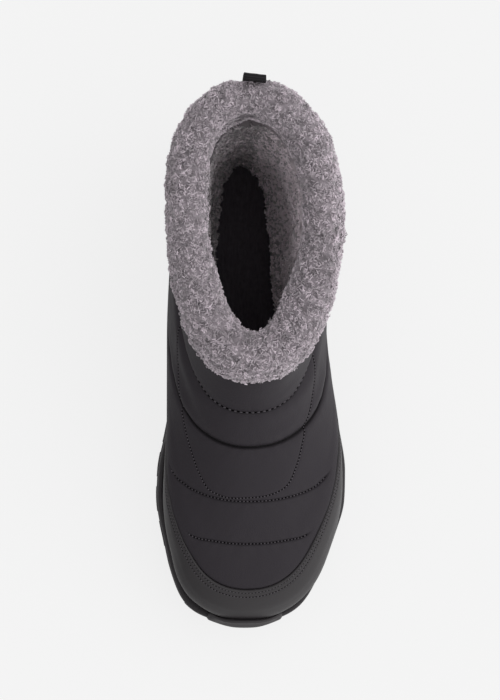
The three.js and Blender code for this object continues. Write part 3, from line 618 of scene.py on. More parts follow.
def upperOut(u, level):
    # A level layer of padding that sinks at each edge, over a width of its own above and below it, with a
    # narrow pinch where it is sewn, small gathers beside it, creases, and broad unevenness.
    looks = upperLooks
    u, level = np.broadcast_arrays(u, level)
    z = levelHeight(u, level)
    base = skinPoint(u, z)
    out = looks["puff"] + looks["uneven"] * waves(base, looks["unevenSize"], 5)
    turn = base[..., 0] * 0.8 + base[..., 1] * 0.6 * sideOf(u)
    shift = looks["gatherTurn"] * waves(base, looks["gatherSize"], 3)
    ripple = np.sin(2 * np.pi * turn / looks["gatherLength"] + shift)
    for edge, (depth, above, below, pinch, power, _) in enumerate(edgeShapes, 1):
        away, at = fromEdge(base, u, edge)
        share = freeShare(u, edge)
        out -= share * depth * np.exp(-(away / np.where(z > at, above, below)) ** power)
        out -= share * pinch * bell(away, looks["pinchWidth"])
        if pinch:
            out += share * looks["gathers"] * ripple * np.exp(-away / looks["gatherWidth"]) * ease(away / 2)
        if edge == looks["foldLine"]:
            hang = bell(away - looks["overhangAt"], looks["overhangWidth"]) * ease(away / 3)
            out += share * (z > at) * looks["overhang"] * hang
    for depth, width, way in creases:
        path = skinPoint(*smoothWay(way).T)
        away, which = nearest(base, path)
        fade = np.sin(np.pi * np.clip(which / (len(path) - 1), 0.001, 0.999)) ** 0.6
        ridge = looks["creaseRidge"] * bell(away - looks["creaseRidgeAt"] * width, width)
        out -= depth * fade * (bell(away, width) - ridge)
    out -= looks["seamDepth"] * bell(nearest(base, vampPath)[0], looks["seamWidth"])
    out = np.maximum(out, -looks["deepest"])
    return out * ease((level - 0.95) / 0.1) * ease((cuffLevel + 0.05 - level) / 0.1)


def paintedChannelShade(u, level):  # painted shade: 1 on the panels, darker down in the channels, where shade falls
    u, level = np.broadcast_arrays(u, level)
    base = skinPoint(u, levelHeight(u, level))
    shade = np.ones_like(level)
    for edge, (*_, dark) in enumerate(edgeShapes, 1):
        shade -= dark * freeShare(u, edge) * bell(fromEdge(base, u, edge)[0], upperLooks["channelShadeWidth"])
    return shade


def upperFace(u, level):
    return skin(u, levelHeight(u, level), upperOut(u, level))


def panelRows(count):  # rows of one panel, closer together along its edges
    t = np.arange(count) / count
    return mix(t, (1 - np.cos(np.pi * t)) / 2, 0.8)


u = around(upperLooks["columns"])[None]
rows = [np.array([0, 0.25, 0.5, 0.75, 0.9])]
rows += [level + panelRows(count) for level, count in enumerate(upperLooks["panelRows"], 1)]
rows = np.concatenate(rows + [np.array([cuffLevel, 6.5, 7.0])])[:, None]
outer = upperFace(u, rows)
innerRows = np.array([7, 6.5, 6, 5, 4, 3, 2, 1, .6, .3, 0])[:, None]
inner = skin(u, levelHeight(u, innerRows), -boot["wall"])
# painted shade down the channels of the outer face, none on the inner wall
tone = np.concatenate([paintedChannelShade(u, rows), np.ones(inner.shape[:2])])
upper = wallPiece("upper_shell", [*outer, *inner], tone)

nylon = Shader("nylon", Specular_IOR_Level=0.2)
patchy, fine = nylon.noise(38, 4, 0.6), nylon.noise(900, 2, 0.5)
lightness = (0.82 + 0.3 * patchy + 0.12 * (fine - 0.5)).maths("MULTIPLY", 1.0, clamp=True)
panels = nylon.mixed(lightness, upperLooks["dark"], upperLooks["light"])
# painted shade: the tone attribute draws the nylon towards the line colour in the channels, where shade falls
nylon.feed("Base Color", nylon.mixed(nylon.attribute("tone"), upperLooks["line"], panels))
nylon.feed("Roughness", 0.46 + 0.16 * patchy)
creased = nylon.bump(nylon.noise(120, 5, 0.6), 0.35, 0.0006)
nylon.feed("Normal", nylon.bump(nylon.cells("F1", 1500.0), 0.35, 0.0002, creased))
dress(upper, nylon, "upper")
print("stage: upper")

# The rand around the foot
randLooks = {
    "columns": 440, "crown": 0.5, "rows": (1.7, 4.1), "groove": 0.3, "grooveWidth": 0.5,
    "lip": 0.3, "lipAt": 0.8, "lipWidth": 0.7,
}
randIn = boot["layerGap"]
randOut = randIn + boot["guardThickness"]


def underEdge(u, level):  # along the skin, from the rand's edge down
    return fromEdge(skinPoint(u, levelHeight(u, level)), u, 1)[0]


def randFace(u, level):
    # The band crowned as a half sine from edge to edge, with a bell-shaped groove at each row and a raised lip.
    down = underEdge(u, level)
    out = randOut + randLooks["crown"] * np.sin(np.pi * np.clip(level, 0, 1)) ** 0.8
    for at in randLooks["rows"]:
        out = out - randLooks["groove"] * bell(down - at, randLooks["grooveWidth"])
    return out + randLooks["lip"] * bell(down - randLooks["lipAt"], randLooks["lipWidth"])


u = around(randLooks["columns"])[None]
rows = np.concatenate([np.linspace(0, 0.64, 12), np.linspace(0.66, 0.988, 36)])[:, None]
outer = skin(u, levelHeight(u, rows), randFace(*np.broadcast_arrays(u, rows)))
lip = [skin(u[0], levelHeight(u[0], at), randOut - taken) for at, taken in ((0.994, 0.15), (1.0, 0.6))]
inner = skin(u, levelHeight(u, np.array([1, .9, .75, .5, .25, 0])[:, None]), randIn)
rand = wallPiece("rand_band", [*outer, *lip, *inner])

coated = Shader("coated leather", Specular_IOR_Level=0.4, Coat_Roughness=0.35, Coat_Weight=0.08)
coated.clouded(30, grey(0.019, 0.03), grey(0.03, 0.03), 0.4, 0.16)
wrinkled = coated.bump(coated.noise(260, 4), 0.2, 0.0004)
pores = coated.cells("DISTANCE_TO_EDGE", 900.0).maths("MINIMUM", 0.12)
coated.feed("Normal", coated.bump(pores, 0.4, 0.0004, wrinkled))
dress(rand, coated, "rand")
print("stage: rand")

# The midsole
soleLooks = {"columns": 420, "lugDepth": 3.5, "plate": 4.0}
ringSole = around(soleLooks["columns"])
# up, inset: the side from below to its shoulder, with the groove half way
midsoleSide = [
    (0, 1.4), (.02, .9), (.05, .6), (.1, .4), (.25, .35), (.4, .4), (.43, .55), (.455, 1.1), (.475, 1.65), (.5, 1.8),
    (.54, 1.8), (.565, 1.65), (.585, 1.1), (.61, .55), (.64, .4), (.8, .4), (.93, .55), (1, .8),
]


def plateBottom(s):
    return tread(s) + soleLooks["lugDepth"]


def plateTop(s):
    return plateBottom(s) + soleLooks["plate"]


def midsoleBottom(s):
    return plateTop(s) + boot["gap"]


def midsoleShoulder(s):
    return platform(s) + 0.4 * boot["rimHeight"]


def rimTop(s):
    return platform(s) + boot["rimHeight"]


def soleRings(low, high, steps):  # the sole's outline at shares of the way between two heights, each set in
    return [edgePoint(ringSole, -inset, lambda s, up=up: mix(low(s), high(s), up)) for up, inset in steps]


rings = soleRings(midsoleBottom, midsoleShoulder, midsoleSide)
rings += soleRings(midsoleShoulder, rimTop, ((.35, .95), (.7, 1.25), (.92, 1.7), (1.0, 2.3)))
beside = boot["layerGap"] + boot["guardThickness"] + boot["rimPlay"]
lowRing = lowEdge(ringSole) - boot["gap"]
for rise, more in ((1.0, 0.35), (.8, .1), (.4, 0), (0, 0)):
    rings.append(skin(ringSole, lowRing + rise * boot["rimHeight"], beside + more))
midsole = meshFrom("midsole_foam", *stackBody(rings))

foam = Shader("foam", Specular_IOR_Level=0.35)
foam.clouded(24, grey(0.019, 0.02), grey(0.029, 0.02), 0.55, 0.15)
foam.feed("Normal", foam.bump(foam.noise(1400, 2, 0.6), 0.4, 0.0003))
dress(midsole, foam, "midsole")
print("stage: midsole")

# The outsole: plate, lugs and toe bumper
lugs = {
    "length": 13, "gap": 5.5, "width": 19, "proud": 0.25, "centre": 32, "archBars": 4, "archShare": 0.7,
    "zones": [(0, .3), (.52, .93)], "slant": 0.25, "deep": 1.5,
}
bumperLooks = {"width": 40, "rise": 8.5, "thickness": 3.4, "proud": 1.9, "fall": 1.2, "end": 0.5, "endReach": 0.8}


def lugBody(outline):
    # A plan outline carried from the tread up into the plate, with its lower edge rounded off.
    outline = np.asarray(outline, float)
    inward = unit(outline.mean(0) - outline)
    layers = []
    for inset, rise in ((1.1, 0.0), (0.35, 0.1), (0.0, 0.55), (0.0, soleLooks["lugDepth"] + lugs["deep"])):
        flat = outline + inward * inset
        layers.append(np.concatenate([flat, (tread(-flat[:, 1]) + rise)[:, None]], 1))
    return loftBody(layers)


def straight(a, b, count=4):
    return mix(np.array(a, float), np.array(b, float), np.linspace(0, 1, count, endpoint=False)[:, None])


def polygon(corners):
    corners = [(x, -s) for x, s in corners]
    return np.concatenate([straight(a, b) for a, b in zip(corners, corners[1:] + corners[:1])])


parts = []
pitch, slant = lugs["length"] + lugs["gap"], lugs["slant"] * lugs["length"]
wide, half = lugs["centre"] / 2, lugs["length"] / 2
for zoneStart, zoneEnd in lugs["zones"]:
    number = int((zoneEnd - zoneStart) * boot["soleLength"] // pitch)
    for i in range(number):
        start = zoneStart * boot["soleLength"] + i * pitch
        for side in (1, -1):
            station = start + 0.5 * slant + np.linspace(0, 1, 9) * lugs["length"]
            edge = np.stack([side * soleReach(station, np.float64(side), lugs["proud"]), -station], 1)
            near = side * (soleReach(np.float64(start + half), side) - lugs["width"])
            front = (near, -(start + slant))
            back = straight((near, -(start + slant + lugs["length"])), front)
            parts.append(lugBody(np.concatenate([edge, back, [front]])))
        if i < number - 1:
            mid = start + (lugs["length"] + pitch) / 2
            parts.append(lugBody(polygon([
                (-wide, mid), (-wide / 2, mid - half), (wide / 2, mid - half),
                (wide, mid), (wide / 2, mid + half), (-wide / 2, mid + half)])))
wide = lugs["archShare"] * lugs["centre"]
for i in range(lugs["archBars"]):
    start = mix(lugs["zones"][0][1], lugs["zones"][1][0], (i + 0.6) / lugs["archBars"]) * boot["soleLength"]
    end = start + lugs["gap"]
    parts.append(lugBody(polygon([(-wide, start), (wide, start), (wide, end), (-wide, end)])))
tipPlan = edgePoint(np.mod(np.linspace(-0.085, 0.085, 400), 1), lugs["proud"], tread)
kept = (-tipPlan[:, 1] > lugs["zones"][1][1] * boot["soleLength"]) & (np.abs(tipPlan[:, 0]) < lugs["centre"])
parts.append(lugBody(tipPlan[kept][::6, :2]))
parts.append(stackBody(soleRings(plateBottom, plateTop, ((0, .9), (.06, .35), (.3, 0), (.8, 0), (.94, .3), (1, .8)))))

# The bumper: a profile from the plate up over the sole's edge and on to the rand, carried round the toe.
turns = np.linspace(-1, 1, 61)
reach = halved(lambda v: edgePoint(np.array([v]), 0, tread)[0, 0] < bumperLooks["width"] / 2, 0.0, 0.2, 30)
bumperU = np.mod(turns * reach, 1)
station = -edgePoint(bumperU, 0, tread)[:, 1]
top, seat = platform(station), rimTop(station) + boot["gap"]
crest = seat + bumperLooks["rise"] * np.cos(turns * bumperLooks["fall"])
root = plateBottom(station) + 0.4 * soleLooks["plate"]
ends = ease((1 - np.abs(turns)) / bumperLooks["endReach"])
thick = bumperLooks["thickness"] * mix(bumperLooks["end"], 1, ends)
proud = mix(bumperLooks["end"], bumperLooks["proud"], ends)
profile = chaikin(np.stack([
    edgePoint(bumperU, proud, root), edgePoint(bumperU, proud + 0.1, mix(root, top, 0.5)),
    edgePoint(bumperU, proud, top), edgePoint(bumperU, -0.7 * proud, seat + thick),
    skin(bumperU, crest, beside + thick * 0.9), skin(bumperU, crest + 0.2, beside + 0.2),
    skin(bumperU, seat, beside), edgePoint(bumperU, -thick, top - thick), edgePoint(bumperU, -thick, root),
], 1))
middle = profile.mean(1, keepdims=True)
profile = middle + (profile - middle) * mix(0.4, 1, ease((1 - np.abs(turns)) / 0.12))[:, None, None]
parts.append(loftBody(profile))
outsole = meshFrom("outsole_rubber", *joined(parts))

rubber = Shader("rubber", Specular_IOR_Level=0.4)
rubber.clouded(26, grey(0.022, 0.02), grey(0.036, 0.03), 0.5, 0.16)
rubber.feed("Normal", rubber.bump(rubber.noise(1100, 3, 0.6), 0.35, 0.0003))
dress(outsole, rubber, "outsole")
print("stage: outsole")

# The footbed
footLooks = {"columns": 300, "thickness": 5, "room": 2, "round": 1.5}
ringFoot = around(footLooks["columns"])
lowFoot = lowEdge(ringFoot)
inset = -boot["wall"] - boot["gap"] - footLooks["room"]
footbed = meshFrom("footbed", *stackBody([
    skin(ringFoot, lowFoot + up * footLooks["thickness"], inset - taken * footLooks["round"])
    for up, taken in ((0, 1), (.08, .4), (.25, 0), (.8, 0), (.93, .3), (1, 1))]))
felt = Shader("knit", Specular_IOR_Level=0.1, Sheen_Weight=0.03)
felt.feed("Base Color", felt.mixed(felt.noise(500, 3), grey(0.05), grey(0.085)))
felt.feed("Roughness", 0.85 + 0.1 * felt.noise(60))
felt.feed("Normal", felt.bump(felt.bands(felt.place(), "X", 190.0, 0.6, 1.0), 0.4, 0.0004))
dress(footbed, felt, "insole")
print("stage: footbed")

# The pull loop
loopLooks = {"width": 12, "thickness": 1.3, "slot": 1.0, "foot": 12, "rise": 1.5, "cuffOut": 9.5}


def loopRoute(out):
    top = float(topEdge(np.array(0.5)))
    foot = top - boot["cuffDrop"] - loopLooks["foot"]
    level = float(levelOf(np.array([0.5]), np.array([foot]))[0])
    clear = boot["gap"] + float(upperOut(np.array([0.5]), np.array([level]))[0])
    route = [
        (foot, clear), (top - boot["cuffDrop"] - 0.3 * loopLooks["foot"], clear),
        (top - 0.75 * boot["cuffDrop"], 0.55 * loopLooks["cuffOut"]),
        (top - 0.45 * boot["cuffDrop"], 0.72 * loopLooks["cuffOut"]),
        (top, 0.78 * loopLooks["cuffOut"]), (top + boot["cuffTop"] + loopLooks["rise"], 0.78 * loopLooks["cuffOut"]),
    ]
    points = np.array([skin(np.array(0.5), np.array(min(z, top)), np.array(proud + out)) for z, proud in route])
    points[:, 2] = [z for z, _ in route]
    return points


half = loopLooks["thickness"] / 2
thick = 2 * loopLooks["thickness"] + loopLooks["slot"]
near, far = loopRoute(half), loopRoute(thick - half)
far[:2, 1] = near[:2, 1] + loopLooks["thickness"] + 0.05
loopInside = near - (0, half + 0.5, 0)
crown = (near[-1] + far[-1]) / 2
radius = (far[-1, 1] - near[-1, 1]) / 2
bendTurn = np.linspace(math.pi, 0, 9)[1:-1]
bend = np.stack([np.zeros(7), crown[1] + radius * np.cos(bendTurn), crown[2] + radius * np.sin(bendTurn)], 1)
centre = np.concatenate([near, bend, far[::-1]])
centre = chaikin(centre, 2, closed=False)
tangent = unit(np.gradient(centre, axis=0))
away = np.stack([np.zeros(len(centre)), tangent[:, 2], -tangent[:, 1]], 1)
wide = loopLooks["width"] / 2
oneFace = [(-wide, -.35), (.4 - wide, -half), (-wide / 2, -.55), (0, -half), (wide / 2, -.55), (wide - .4, -half),
           (wide, -.35)]
cross = np.array(oneFace + [(x, -y) for x, y in oneFace[::-1]])
loops = centre[:, None] + away[:, None] * cross[None, :, 1:2] + np.array([0.9, -0.1, 0]) * cross[None, :, 0:1]
along = np.r_[0, np.cumsum(np.linalg.norm(np.diff(centre, axis=0), axis=1))]
points, faces = loftBody(loops)
uv = np.zeros((len(points), 2))
uv[:-2, 0] = np.tile(cross[:, 0], len(centre)) / 1000
uv[:-2, 1] = np.repeat(along, len(cross)) / 1000
loop = meshFrom("loop_webbing", points, faces, uv=uv)
webbing = Shader("webbing", Specular_IOR_Level=0.25)
where = webbing.add("ShaderNodeUVMap", {"uv_map": "weave"})
ribs = webbing.bands(where, "Y", 380.0, 0.4)
webbing.feed("Base Color", webbing.mixed(ribs * 0.8, grey(0.006), grey(0.022)))
webbing.feed("Roughness", 0.7 + 0.1 * webbing.noise(200))
webbing.feed("Normal", webbing.bump(ribs, 0.6, 0.0005))
dress(loop, webbing, "pull_loop")
print("stage: pull loop")

# The fleece: the roll over the collar and the lining below it
fleeceLooks = {
    "out": 9.6, "in": 6.0, "frontIn": 4.0, "top": 6.6, "drop": 24.0, "square": 2.2, "lumps": 1.1,
    "curls": 27000, "length": 3.0, "thick": 0.3, "clumps": 900, "pull": 0.6, "baseTone": 0.34,
    "tuft": 4.6, "tuftHeight": 0.75, "tuftShade": 0.5, "rows": 60, "columns": 320,
    "cleft": (-4.0, -11.5, 151.5), "cleftDepth": 5.0, "cleftSize": 5.0, "cleftShade": 0.6,
}
# How the loop presses the roll in at the back, and where no curls grow under it.
pressLooks = {
    "room": 4.6, "above": 157, "over": 5, "wide": 11, "soft": 4.5, "bare": 6.2, "bareDeep": 2.2, "bareTo": 158,
}
liningLooks = {
    "gap": 1.35, "depth": 9.5, "rounding": 3, "toe": 3.5, "heel": 3, "foot": 2, "tip": 4.5, "outer": 4.5,
    "point": 10, "pointAt": 0.45, "pointWidth": 0.065, "lumps": 0.9, "over": 8, "baseTone": 0.27, "curlsTo": 175,
    "curls": 11000, "length": 3.8, "thick": 0.42, "clumps": 1500, "pull": 0.6, "rows": 44, "columns": 240,
    "backRows": 12, "evened": 12, "innerLight": 0.7, "outerLight": 2.8, "shadow": 0.4, "shadowReach": 14,
}


def rollPoint(u, turn):
    # A superellipse across the roll, hung over the upper's top edge: out and in to its two sides, up over the
    # edge and down past it. turn is 0 outside, a quarter on top, a half inside.
    looks = fleeceLooks
    inner = boot["wall"] + boot["layerGap"] + looks["in"] + looks["frontIn"] * ease((0.27 - fromToe(u)) / 0.14)
    c, s = np.cos(2 * np.pi * turn), np.sin(2 * np.pi * turn)
    power = 2 / looks["square"]
    half = (looks["out"] + inner) / 2
    middle = (looks["out"] - inner) / 2
    out = middle + half * np.sign(c) * np.abs(c) ** power
    tall = (looks["top"] + looks["drop"]) / 2
    up = (looks["top"] - looks["drop"]) / 2 + tall * np.sign(s) * np.abs(s) ** power
    edge = topEdge(u)
    at = skin(u, edge + np.minimum(up, 0), out)
    at[..., 2] += np.maximum(up, 0)
    return at


def loopFace(z):  # where the inside of the loop stands at a height
    return np.interp(z, loopInside[:, 2], loopInside[:, 1])


def rollSurface(u, turn, step=0.002):
    # The roll moved along its normal by lumps and tufts, which are sums of waves, and by a bell-shaped cleft.
    at = rollPoint(u, turn)
    along = rollPoint(u + step, turn) - rollPoint(u - step, turn)
    across = rollPoint(u, turn + step) - rollPoint(u, turn - step)
    normal = unit(np.cross(along, across))
    looks = fleeceLooks
    lumps = waves(at, 17, 21, 2) * looks["lumps"] + waves(at, looks["tuft"], 22, 2) * looks["tuftHeight"]
    away = np.linalg.norm(at - looks["cleft"], axis=-1)
    lumps = lumps - looks["cleftDepth"] * bell(away, looks["cleftSize"])
    at = at + normal * lumps[..., None]
    limit = loopFace(at[..., 2]) + pressLooks["room"] * ease((at[..., 2] - pressLooks["above"]) / pressLooks["over"])
    pressed = ease((pressLooks["wide"] - np.abs(at[..., 0])) / pressLooks["soft"])
    at[..., 1] = mix(at[..., 1], np.minimum(at[..., 1], limit), pressed)
    return at, normal


def tuftShade(at):  # painted light and shade: lighter on the raised tufts, darker in the hollows between them and in the cleft
    away = np.linalg.norm(at - fleeceLooks["cleft"], axis=-1)
    cleft = 1 - fleeceLooks["cleftShade"] * bell(away, fleeceLooks["cleftSize"])
    return cleft * (1 + fleeceLooks["tuftShade"] * waves(at, fleeceLooks["tuft"], 22, 2))


def pileDepth(u, z):
    # Thin over the toes, full in the shaft, deepest round the heel by the footbed, rounded off under the roll.
    looks = liningLooks
    top, low = levelHeight(u, cuffLevel), lowEdge(u)
    station = -skinPoint(u, z)[..., 1]
    shaft = ease((0.75 * boot["soleLength"] - station) / (0.25 * boot["soleLength"]))
    heel = ease((backward(u) - 0.6) / 0.4)
    down = ease((top - z) / (top - low))
    tip = bell(u - 0.575, 0.035)
    side = np.where(sideOf(u) > 0, looks["outer"] * np.sin(2 * np.pi * np.clip(u, 0, 0.5)) ** 2, 0)
    point = looks["point"] * bell(u - looks["pointAt"], looks["pointWidth"])
    low = looks["foot"] + looks["heel"] * heel + looks["tip"] * tip + side + point
    full = mix(looks["toe"], looks["depth"], shaft) + down * shaft * low
    return full - looks["rounding"] * ease(1 - (top - z) / boot["cuffDrop"])


def curlMesh(name, root, normal, looks, seed, tones):
    # Each curl is a three-sided tube whose path bends over from the normal to one side, with its tip pulled
    # towards its clump's middle; it is thickest in the middle and closed by a point.
    made = np.random.default_rng(seed)
    number = len(root)
    clump = made.choice(number, min(looks["clumps"], number // 6), replace=False)
    owner = nearest(root, root[clump])[1]
    middle = root[clump][owner]
    way = made.normal(size=(len(clump), 3))[owner] * 0.8 + made.normal(size=(number, 3)) * 0.75
    way = unit(way - (way * normal).sum(-1, keepdims=True) * normal)
    side = np.cross(normal, way)
    size = looks["length"] * made.uniform(0.65, 1.2, number)[:, None, None]
    size = size * made.uniform(0.8, 1.15, len(clump))[owner][:, None, None]
    bend = made.uniform(2.4, 4.4, number)[:, None, None]
    t = np.array([0, .45, .88])[None, :, None]
    swirl = made.uniform(-0.28, 0.28, number)[:, None, None] * np.sin(np.pi * t)
    path = root[:, None] - normal[:, None] * 0.4 + size / bend * (
        normal[:, None] * np.sin(bend * t) + way[:, None] * (1 - np.cos(bend * t))) + size * swirl * side[:, None]
    path = path + (middle - root)[:, None] * looks["pull"] * t ** 1.5
    tangent = unit(np.gradient(path, axis=1))
    a = unit(np.cross(tangent, side[:, None] + 0.01))
    b = np.cross(tangent, a)
    wide = looks["thick"] * made.uniform(0.75, 1.3, number)[:, None, None] * np.array([.85, 1.1, .75])[None, :, None]
    turns = 2 * np.pi * np.arange(3) / 3
    rings = np.stack([path + wide * (a * math.cos(turn) + b * math.sin(turn)) for turn in turns], 2)
    tip = path[:, -1] + tangent[:, -1] * wide[:, -1] * 0.9
    levels = rings.shape[1]
    points = np.concatenate([rings.reshape(number, -1, 3), tip[:, None]], 1)
    each = points.shape[1]
    faces = []
    for r in range(levels - 1):
        for k in range(3):
            p, q = r * 3 + k, r * 3 + (k + 1) % 3
            faces += [(p, q, q + 3), (p, q + 3, p + 3)]
    last = (levels - 1) * 3
    faces += [(last + k, last + (k + 1) % 3, each - 1) for k in range(3)]
    faces += [(0, 2, 1)]  # its root, inside the roll
    faces = np.array(faces)
    faces = outwards(points[0], [faces])[0]
    every = (faces[None] + (np.arange(number) * each)[:, None, None]).reshape(-1, 3)
    shadeAlong = np.r_[np.repeat([.3, .85, 1.1], 3), 1.15][None]  # painted shade: dark at the root, down among the other curls, lighter towards the tip
    tone = tones[:, None] * made.uniform(0.78, 1.22, len(clump))[owner][:, None] * shadeAlong
    return meshFrom(name, points, [every], tone=tone)


def pileShader(name, dark, light, warm):
    pile = Shader(name, Roughness=0.95, Specular_IOR_Level=0.12, Sheen_Weight=0.5, Sheen_Roughness=0.6)
    patch, strands = pile.noise(55, 3, 0.6), pile.noise(800, 3, 0.7)
    share = (pile.attribute("tone") * (0.5 + 0.5 * patch + 0.5 * strands)).maths("MULTIPLY", 0.72, clamp=True)
    pile.feed("Base Color", pile.mixed(share, grey(dark, warm), grey(light, warm)))
    pile.feed("Normal", pile.bump(pile.noise(1700, 3, 0.6), 0.5, 0.0004))
    return pile


pile = pileShader("fleece", 0.03, 0.8, 0.03)
rows, columns = fleeceLooks["rows"], fleeceLooks["columns"]
u, turn = around(columns)[None], around(rows)[:, None]
base, _ = rollSurface(*np.broadcast_arrays(u, turn))
# the roll's tone carries the painted shade of its hollows and its cleft
roll = wallPiece("cuff_roll", list(base), tone=fleeceLooks["baseTone"] * tuftShade(base))
dress(roll, pile, "fleece_cuff")


def spread(area, number):  # evenly over the cells, by their area
    share = (np.arange(number) + rng.uniform(0, 1, number)) / number
    return np.searchsorted(np.cumsum(area.ravel() / area.sum()), share).clip(0, area.size - 1)


after, across = np.roll(base, -1, 1), np.roll(base, -1, 0)
area = np.linalg.norm(np.cross(after - base, across - base), axis=-1)
hidden = (turn > 0.6) & (turn < 0.92)  # between the roll and the upper
picked = spread(area * np.where(hidden, 0.25, 1), fleeceLooks["curls"])
pickedTurn = (picked // columns + rng.uniform(0, 1, len(picked))) / rows
pickedU = (picked % columns + rng.uniform(0, 1, len(picked))) / columns
root, normal = rollSurface(pickedU, pickedTurn)
if np.median((normal * (root - base.mean((0, 1)))).sum(-1)) < 0:
    normal = -normal
tones = rng.uniform(0.72, 1.18, len(root)) * tuftShade(root)
underLoop = np.abs(root[:, 0]) < pressLooks["bare"]
underLoop &= root[:, 1] > loopFace(root[:, 2]) - pressLooks["bareDeep"]
underLoop &= root[:, 2] < pressLooks["bareTo"]
order = np.argsort(pickedU)
order = order[~underLoop[order]]
for k, part in enumerate(np.array_split(order, 4)):
    curls = curlMesh(f"cuff_curls_{k + 1}", root[part], normal[part], fleeceLooks, 40 + k, tones[part])
    dress(curls, pile)
print("stage: fleece roll")

rows, columns = liningLooks["rows"], liningLooks["columns"]
u = around(columns)[None]
low = lowEdge(u) + footLooks["thickness"] + 2 * boot["gap"]
z = mix(low, levelHeight(u, cuffLevel) + liningLooks["over"], np.linspace(0, 1, rows)[:, None])
u = u + 0 * z
face = -boot["wall"] - liningLooks["gap"]
lining = skin(u, z, face - pileDepth(u, z))
for _ in range(liningLooks["evened"]):  # evened out along each ring, where the rings are tight
    lining = (np.roll(lining, 1, 1) + 2 * lining + np.roll(lining, -1, 1)) / 4
towards = -skinNormal(u, z)
lining = lining + towards * (waves(lining, 13, 31, 2) * liningLooks["lumps"])[..., None]
backRows = liningLooks["backRows"]
back = skin(u[:backRows], mix(z[-1], z[0], np.linspace(0, 1, backRows)[:, None]), face)
liningShader = pileShader("lining fleece", 0.03, 0.86, 0.045)
outerShare = np.clip(np.sin(2 * np.pi * u[0]), 0, 1)
shadowReach = liningLooks["shadowReach"]
underRoll = ease((z - levelHeight(u, cuffLevel) + shadowReach) / shadowReach)  # painted shadow under the roll, on the inner side
# painted light: the lining on the boot's outer side is painted lighter than on its inner side, as the light falls
lit = mix(liningLooks["innerLight"], liningLooks["outerLight"], outerShare)
lit = lit * (1 - liningLooks["shadow"] * underRoll * (1 - outerShare))
tone = liningLooks["baseTone"] * np.concatenate([lit, lit[:backRows]]) * tuftShade(np.concatenate([lining, back]))
liningPiece = wallPiece("lining_pile", [*lining, *back], tone=tone)
dress(liningPiece, liningShader, "lining")
after, across = np.roll(lining, -1, 1), np.roll(lining, -1, 0)
area = np.linalg.norm(np.cross(after - lining, across - lining), axis=-1)
area = area * (-lining[..., 1] < liningLooks["curlsTo"])
area[-1] = 0
picked = spread(area, liningLooks["curls"])
r, c = picked // columns, picked % columns
a, b = rng.uniform(0, 1, (2, len(picked)))
root = mix(mix(lining[r, c], lining[r, (c + 1) % columns], a[:, None]),
           mix(lining[r + 1, c], lining[r + 1, (c + 1) % columns], a[:, None]), b[:, None])
tones = rng.uniform(0.8, 1.25, len(root)) * lit[r, c] * tuftShade(root)
curls = curlMesh("lining_curls", root, towards[r, c], liningLooks, 61, tones)
dress(curls, liningShader)
print("stage: lining")

# The stitches
stitchLooks = {
    "line": {"pitch": 2.6, "length": 1.55, "thick": 0.4, "sink": 0.3},
    "vamp": {"pitch": 1.75, "length": 1.0, "thick": 0.36, "sink": 0.2},
    "rand": {"pitch": 1.75, "length": 1.05, "thick": 0.28, "sink": 0.08},
}


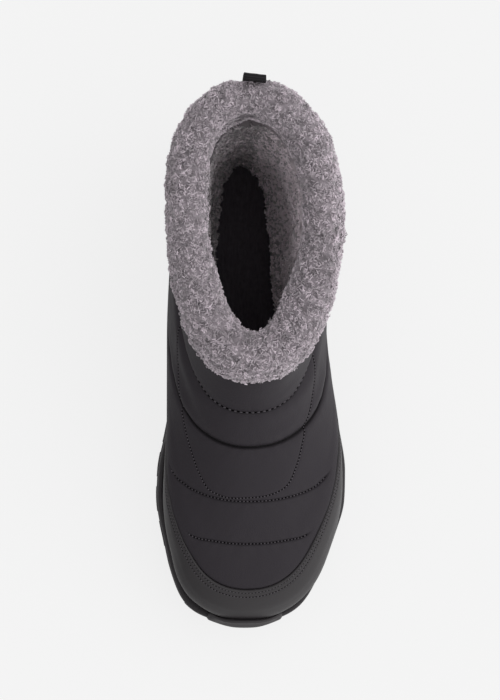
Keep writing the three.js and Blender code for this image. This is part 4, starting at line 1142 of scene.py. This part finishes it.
def stitchBodies(path, normal, looks, asHoleShade=False):
    # A row of small closed bodies laid end to end along a path: five-sided tubes, thick in the middle. The
    # dark bodies for the needle holes are painted shade; they lie between the threads, shorter and deeper.
    step = np.linalg.norm(np.diff(path, axis=0), axis=1)
    along = np.r_[0, np.cumsum(step)]
    centres = np.arange(looks["pitch"] / 2, along[-1] - looks["pitch"], looks["pitch"])
    length, sink = looks["length"], looks["sink"]
    if asHoleShade:
        centres, sink = centres + looks["pitch"] / 2, sink - 0.2
        length = looks["pitch"] - length + 0.3

    def read(values, s):
        return np.stack([np.interp(s, along, values[:, k]) for k in range(3)], -1)
    number = len(centres)
    t = np.array([-.5, -.3, .3, .5])
    s = centres[:, None] + t[None] * length
    up = unit(read(normal, s))
    forward = unit(read(path, s + 0.2) - read(path, s - 0.2))
    side = unit(np.cross(forward, up))
    sunk = read(path, s) + up * (sink + looks["thick"] * np.array([-.6, .2, .2, -.6]))[None, :, None]
    wide = looks["thick"] * (1.3 if asHoleShade else 1) * np.array([.4, 1, 1, .4])[None, :, None]
    turns = np.arange(5) * 2 * math.pi / 5
    rings = np.stack([sunk + wide * (side * math.cos(a) + up * 0.8 * math.sin(a)) for a in turns], 2)
    points = rings.reshape(number, -1, 3)
    caps = np.array([[0, 2, 1], [0, 3, 2], [0, 4, 3], [15, 16, 17], [15, 17, 18], [15, 18, 19]])
    made = outwards(points[0], [bandFaces(4, 5, False), caps])
    shift = (np.arange(number) * 20)[:, None, None]
    return points.reshape(-1, 3), [(f[None] + shift).reshape(-1, f.shape[1]) for f in made]


ring = np.linspace(0.5, 1.5, 900)
sewn = {"quilt_stitches": [], "vamp_stitches": [], "rand_stitches": []}
for level, pitch, thick in ((2, 1.8, 0.4), (3, 1.9, 0.4), (5, 2.9, 0.5)):
    path = upperFace(ring, np.full_like(ring, level))
    normal = skinNormal(ring, levelHeight(ring, level))
    shown = freeShare(ring, level) > 0.4
    for run in np.split(np.arange(len(ring)), np.where(np.diff(shown.astype(int)) != 0)[0] + 1):
        if shown[run[0]] and len(run) > 12:
            looks = dict(stitchLooks["line"], pitch=pitch, length=0.6 * pitch, thick=thick)
            sewn["quilt_stitches"].append((path[run], normal[run], looks))
vampLevel = levelOf(vampWay[:, 0], vampWay[:, 1])
kept = (vampLevel > 1.02) & (vampLevel < 5.98)
vampFace = upperFace(vampWay[:, 0], vampLevel)
sewn["vamp_stitches"].append((vampFace[kept], skinNormal(*vampWay.T)[kept], stitchLooks["vamp"]))
for down in randLooks["rows"]:
    level = halved(lambda v: underEdge(ring, v) > down, np.full_like(ring, 0.3), np.ones_like(ring), 24)
    height = levelHeight(ring, level)
    place = skin(ring, height, randFace(ring, level))
    sewn["rand_stitches"].append((place, skinNormal(ring, height), stitchLooks["rand"]))

thread = Shader("thread", Specular_IOR_Level=0.35, Roughness=0.6)
thread.feed("Base Color", thread.mixed(thread.noise(300, 2), grey(0.045), grey(0.11)))
# painted shade: near-black bodies stand in for the shade down in the needle holes
holeShade = Shader("needle holes", Specular_IOR_Level=0.0, Roughness=1.0, Base_Color=(0.004, 0.0036, 0.004, 1))
for name, rowsSewn in sewn.items():
    points, faces = joined([stitchBodies(*row) for row in rowsSewn])
    dress(meshFrom(name, points, faces), thread)
    points, faces = joined([stitchBodies(*row, asHoleShade=True) for row in rowsSewn])
    dress(meshFrom(name.replace("stitches", "holes"), points, faces), holeShade)
print("stage: stitches")

triangles = sum(len(p.vertices) - 2 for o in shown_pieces() if o.type == "MESH" for p in o.data.polygons)
print("triangles", triangles)
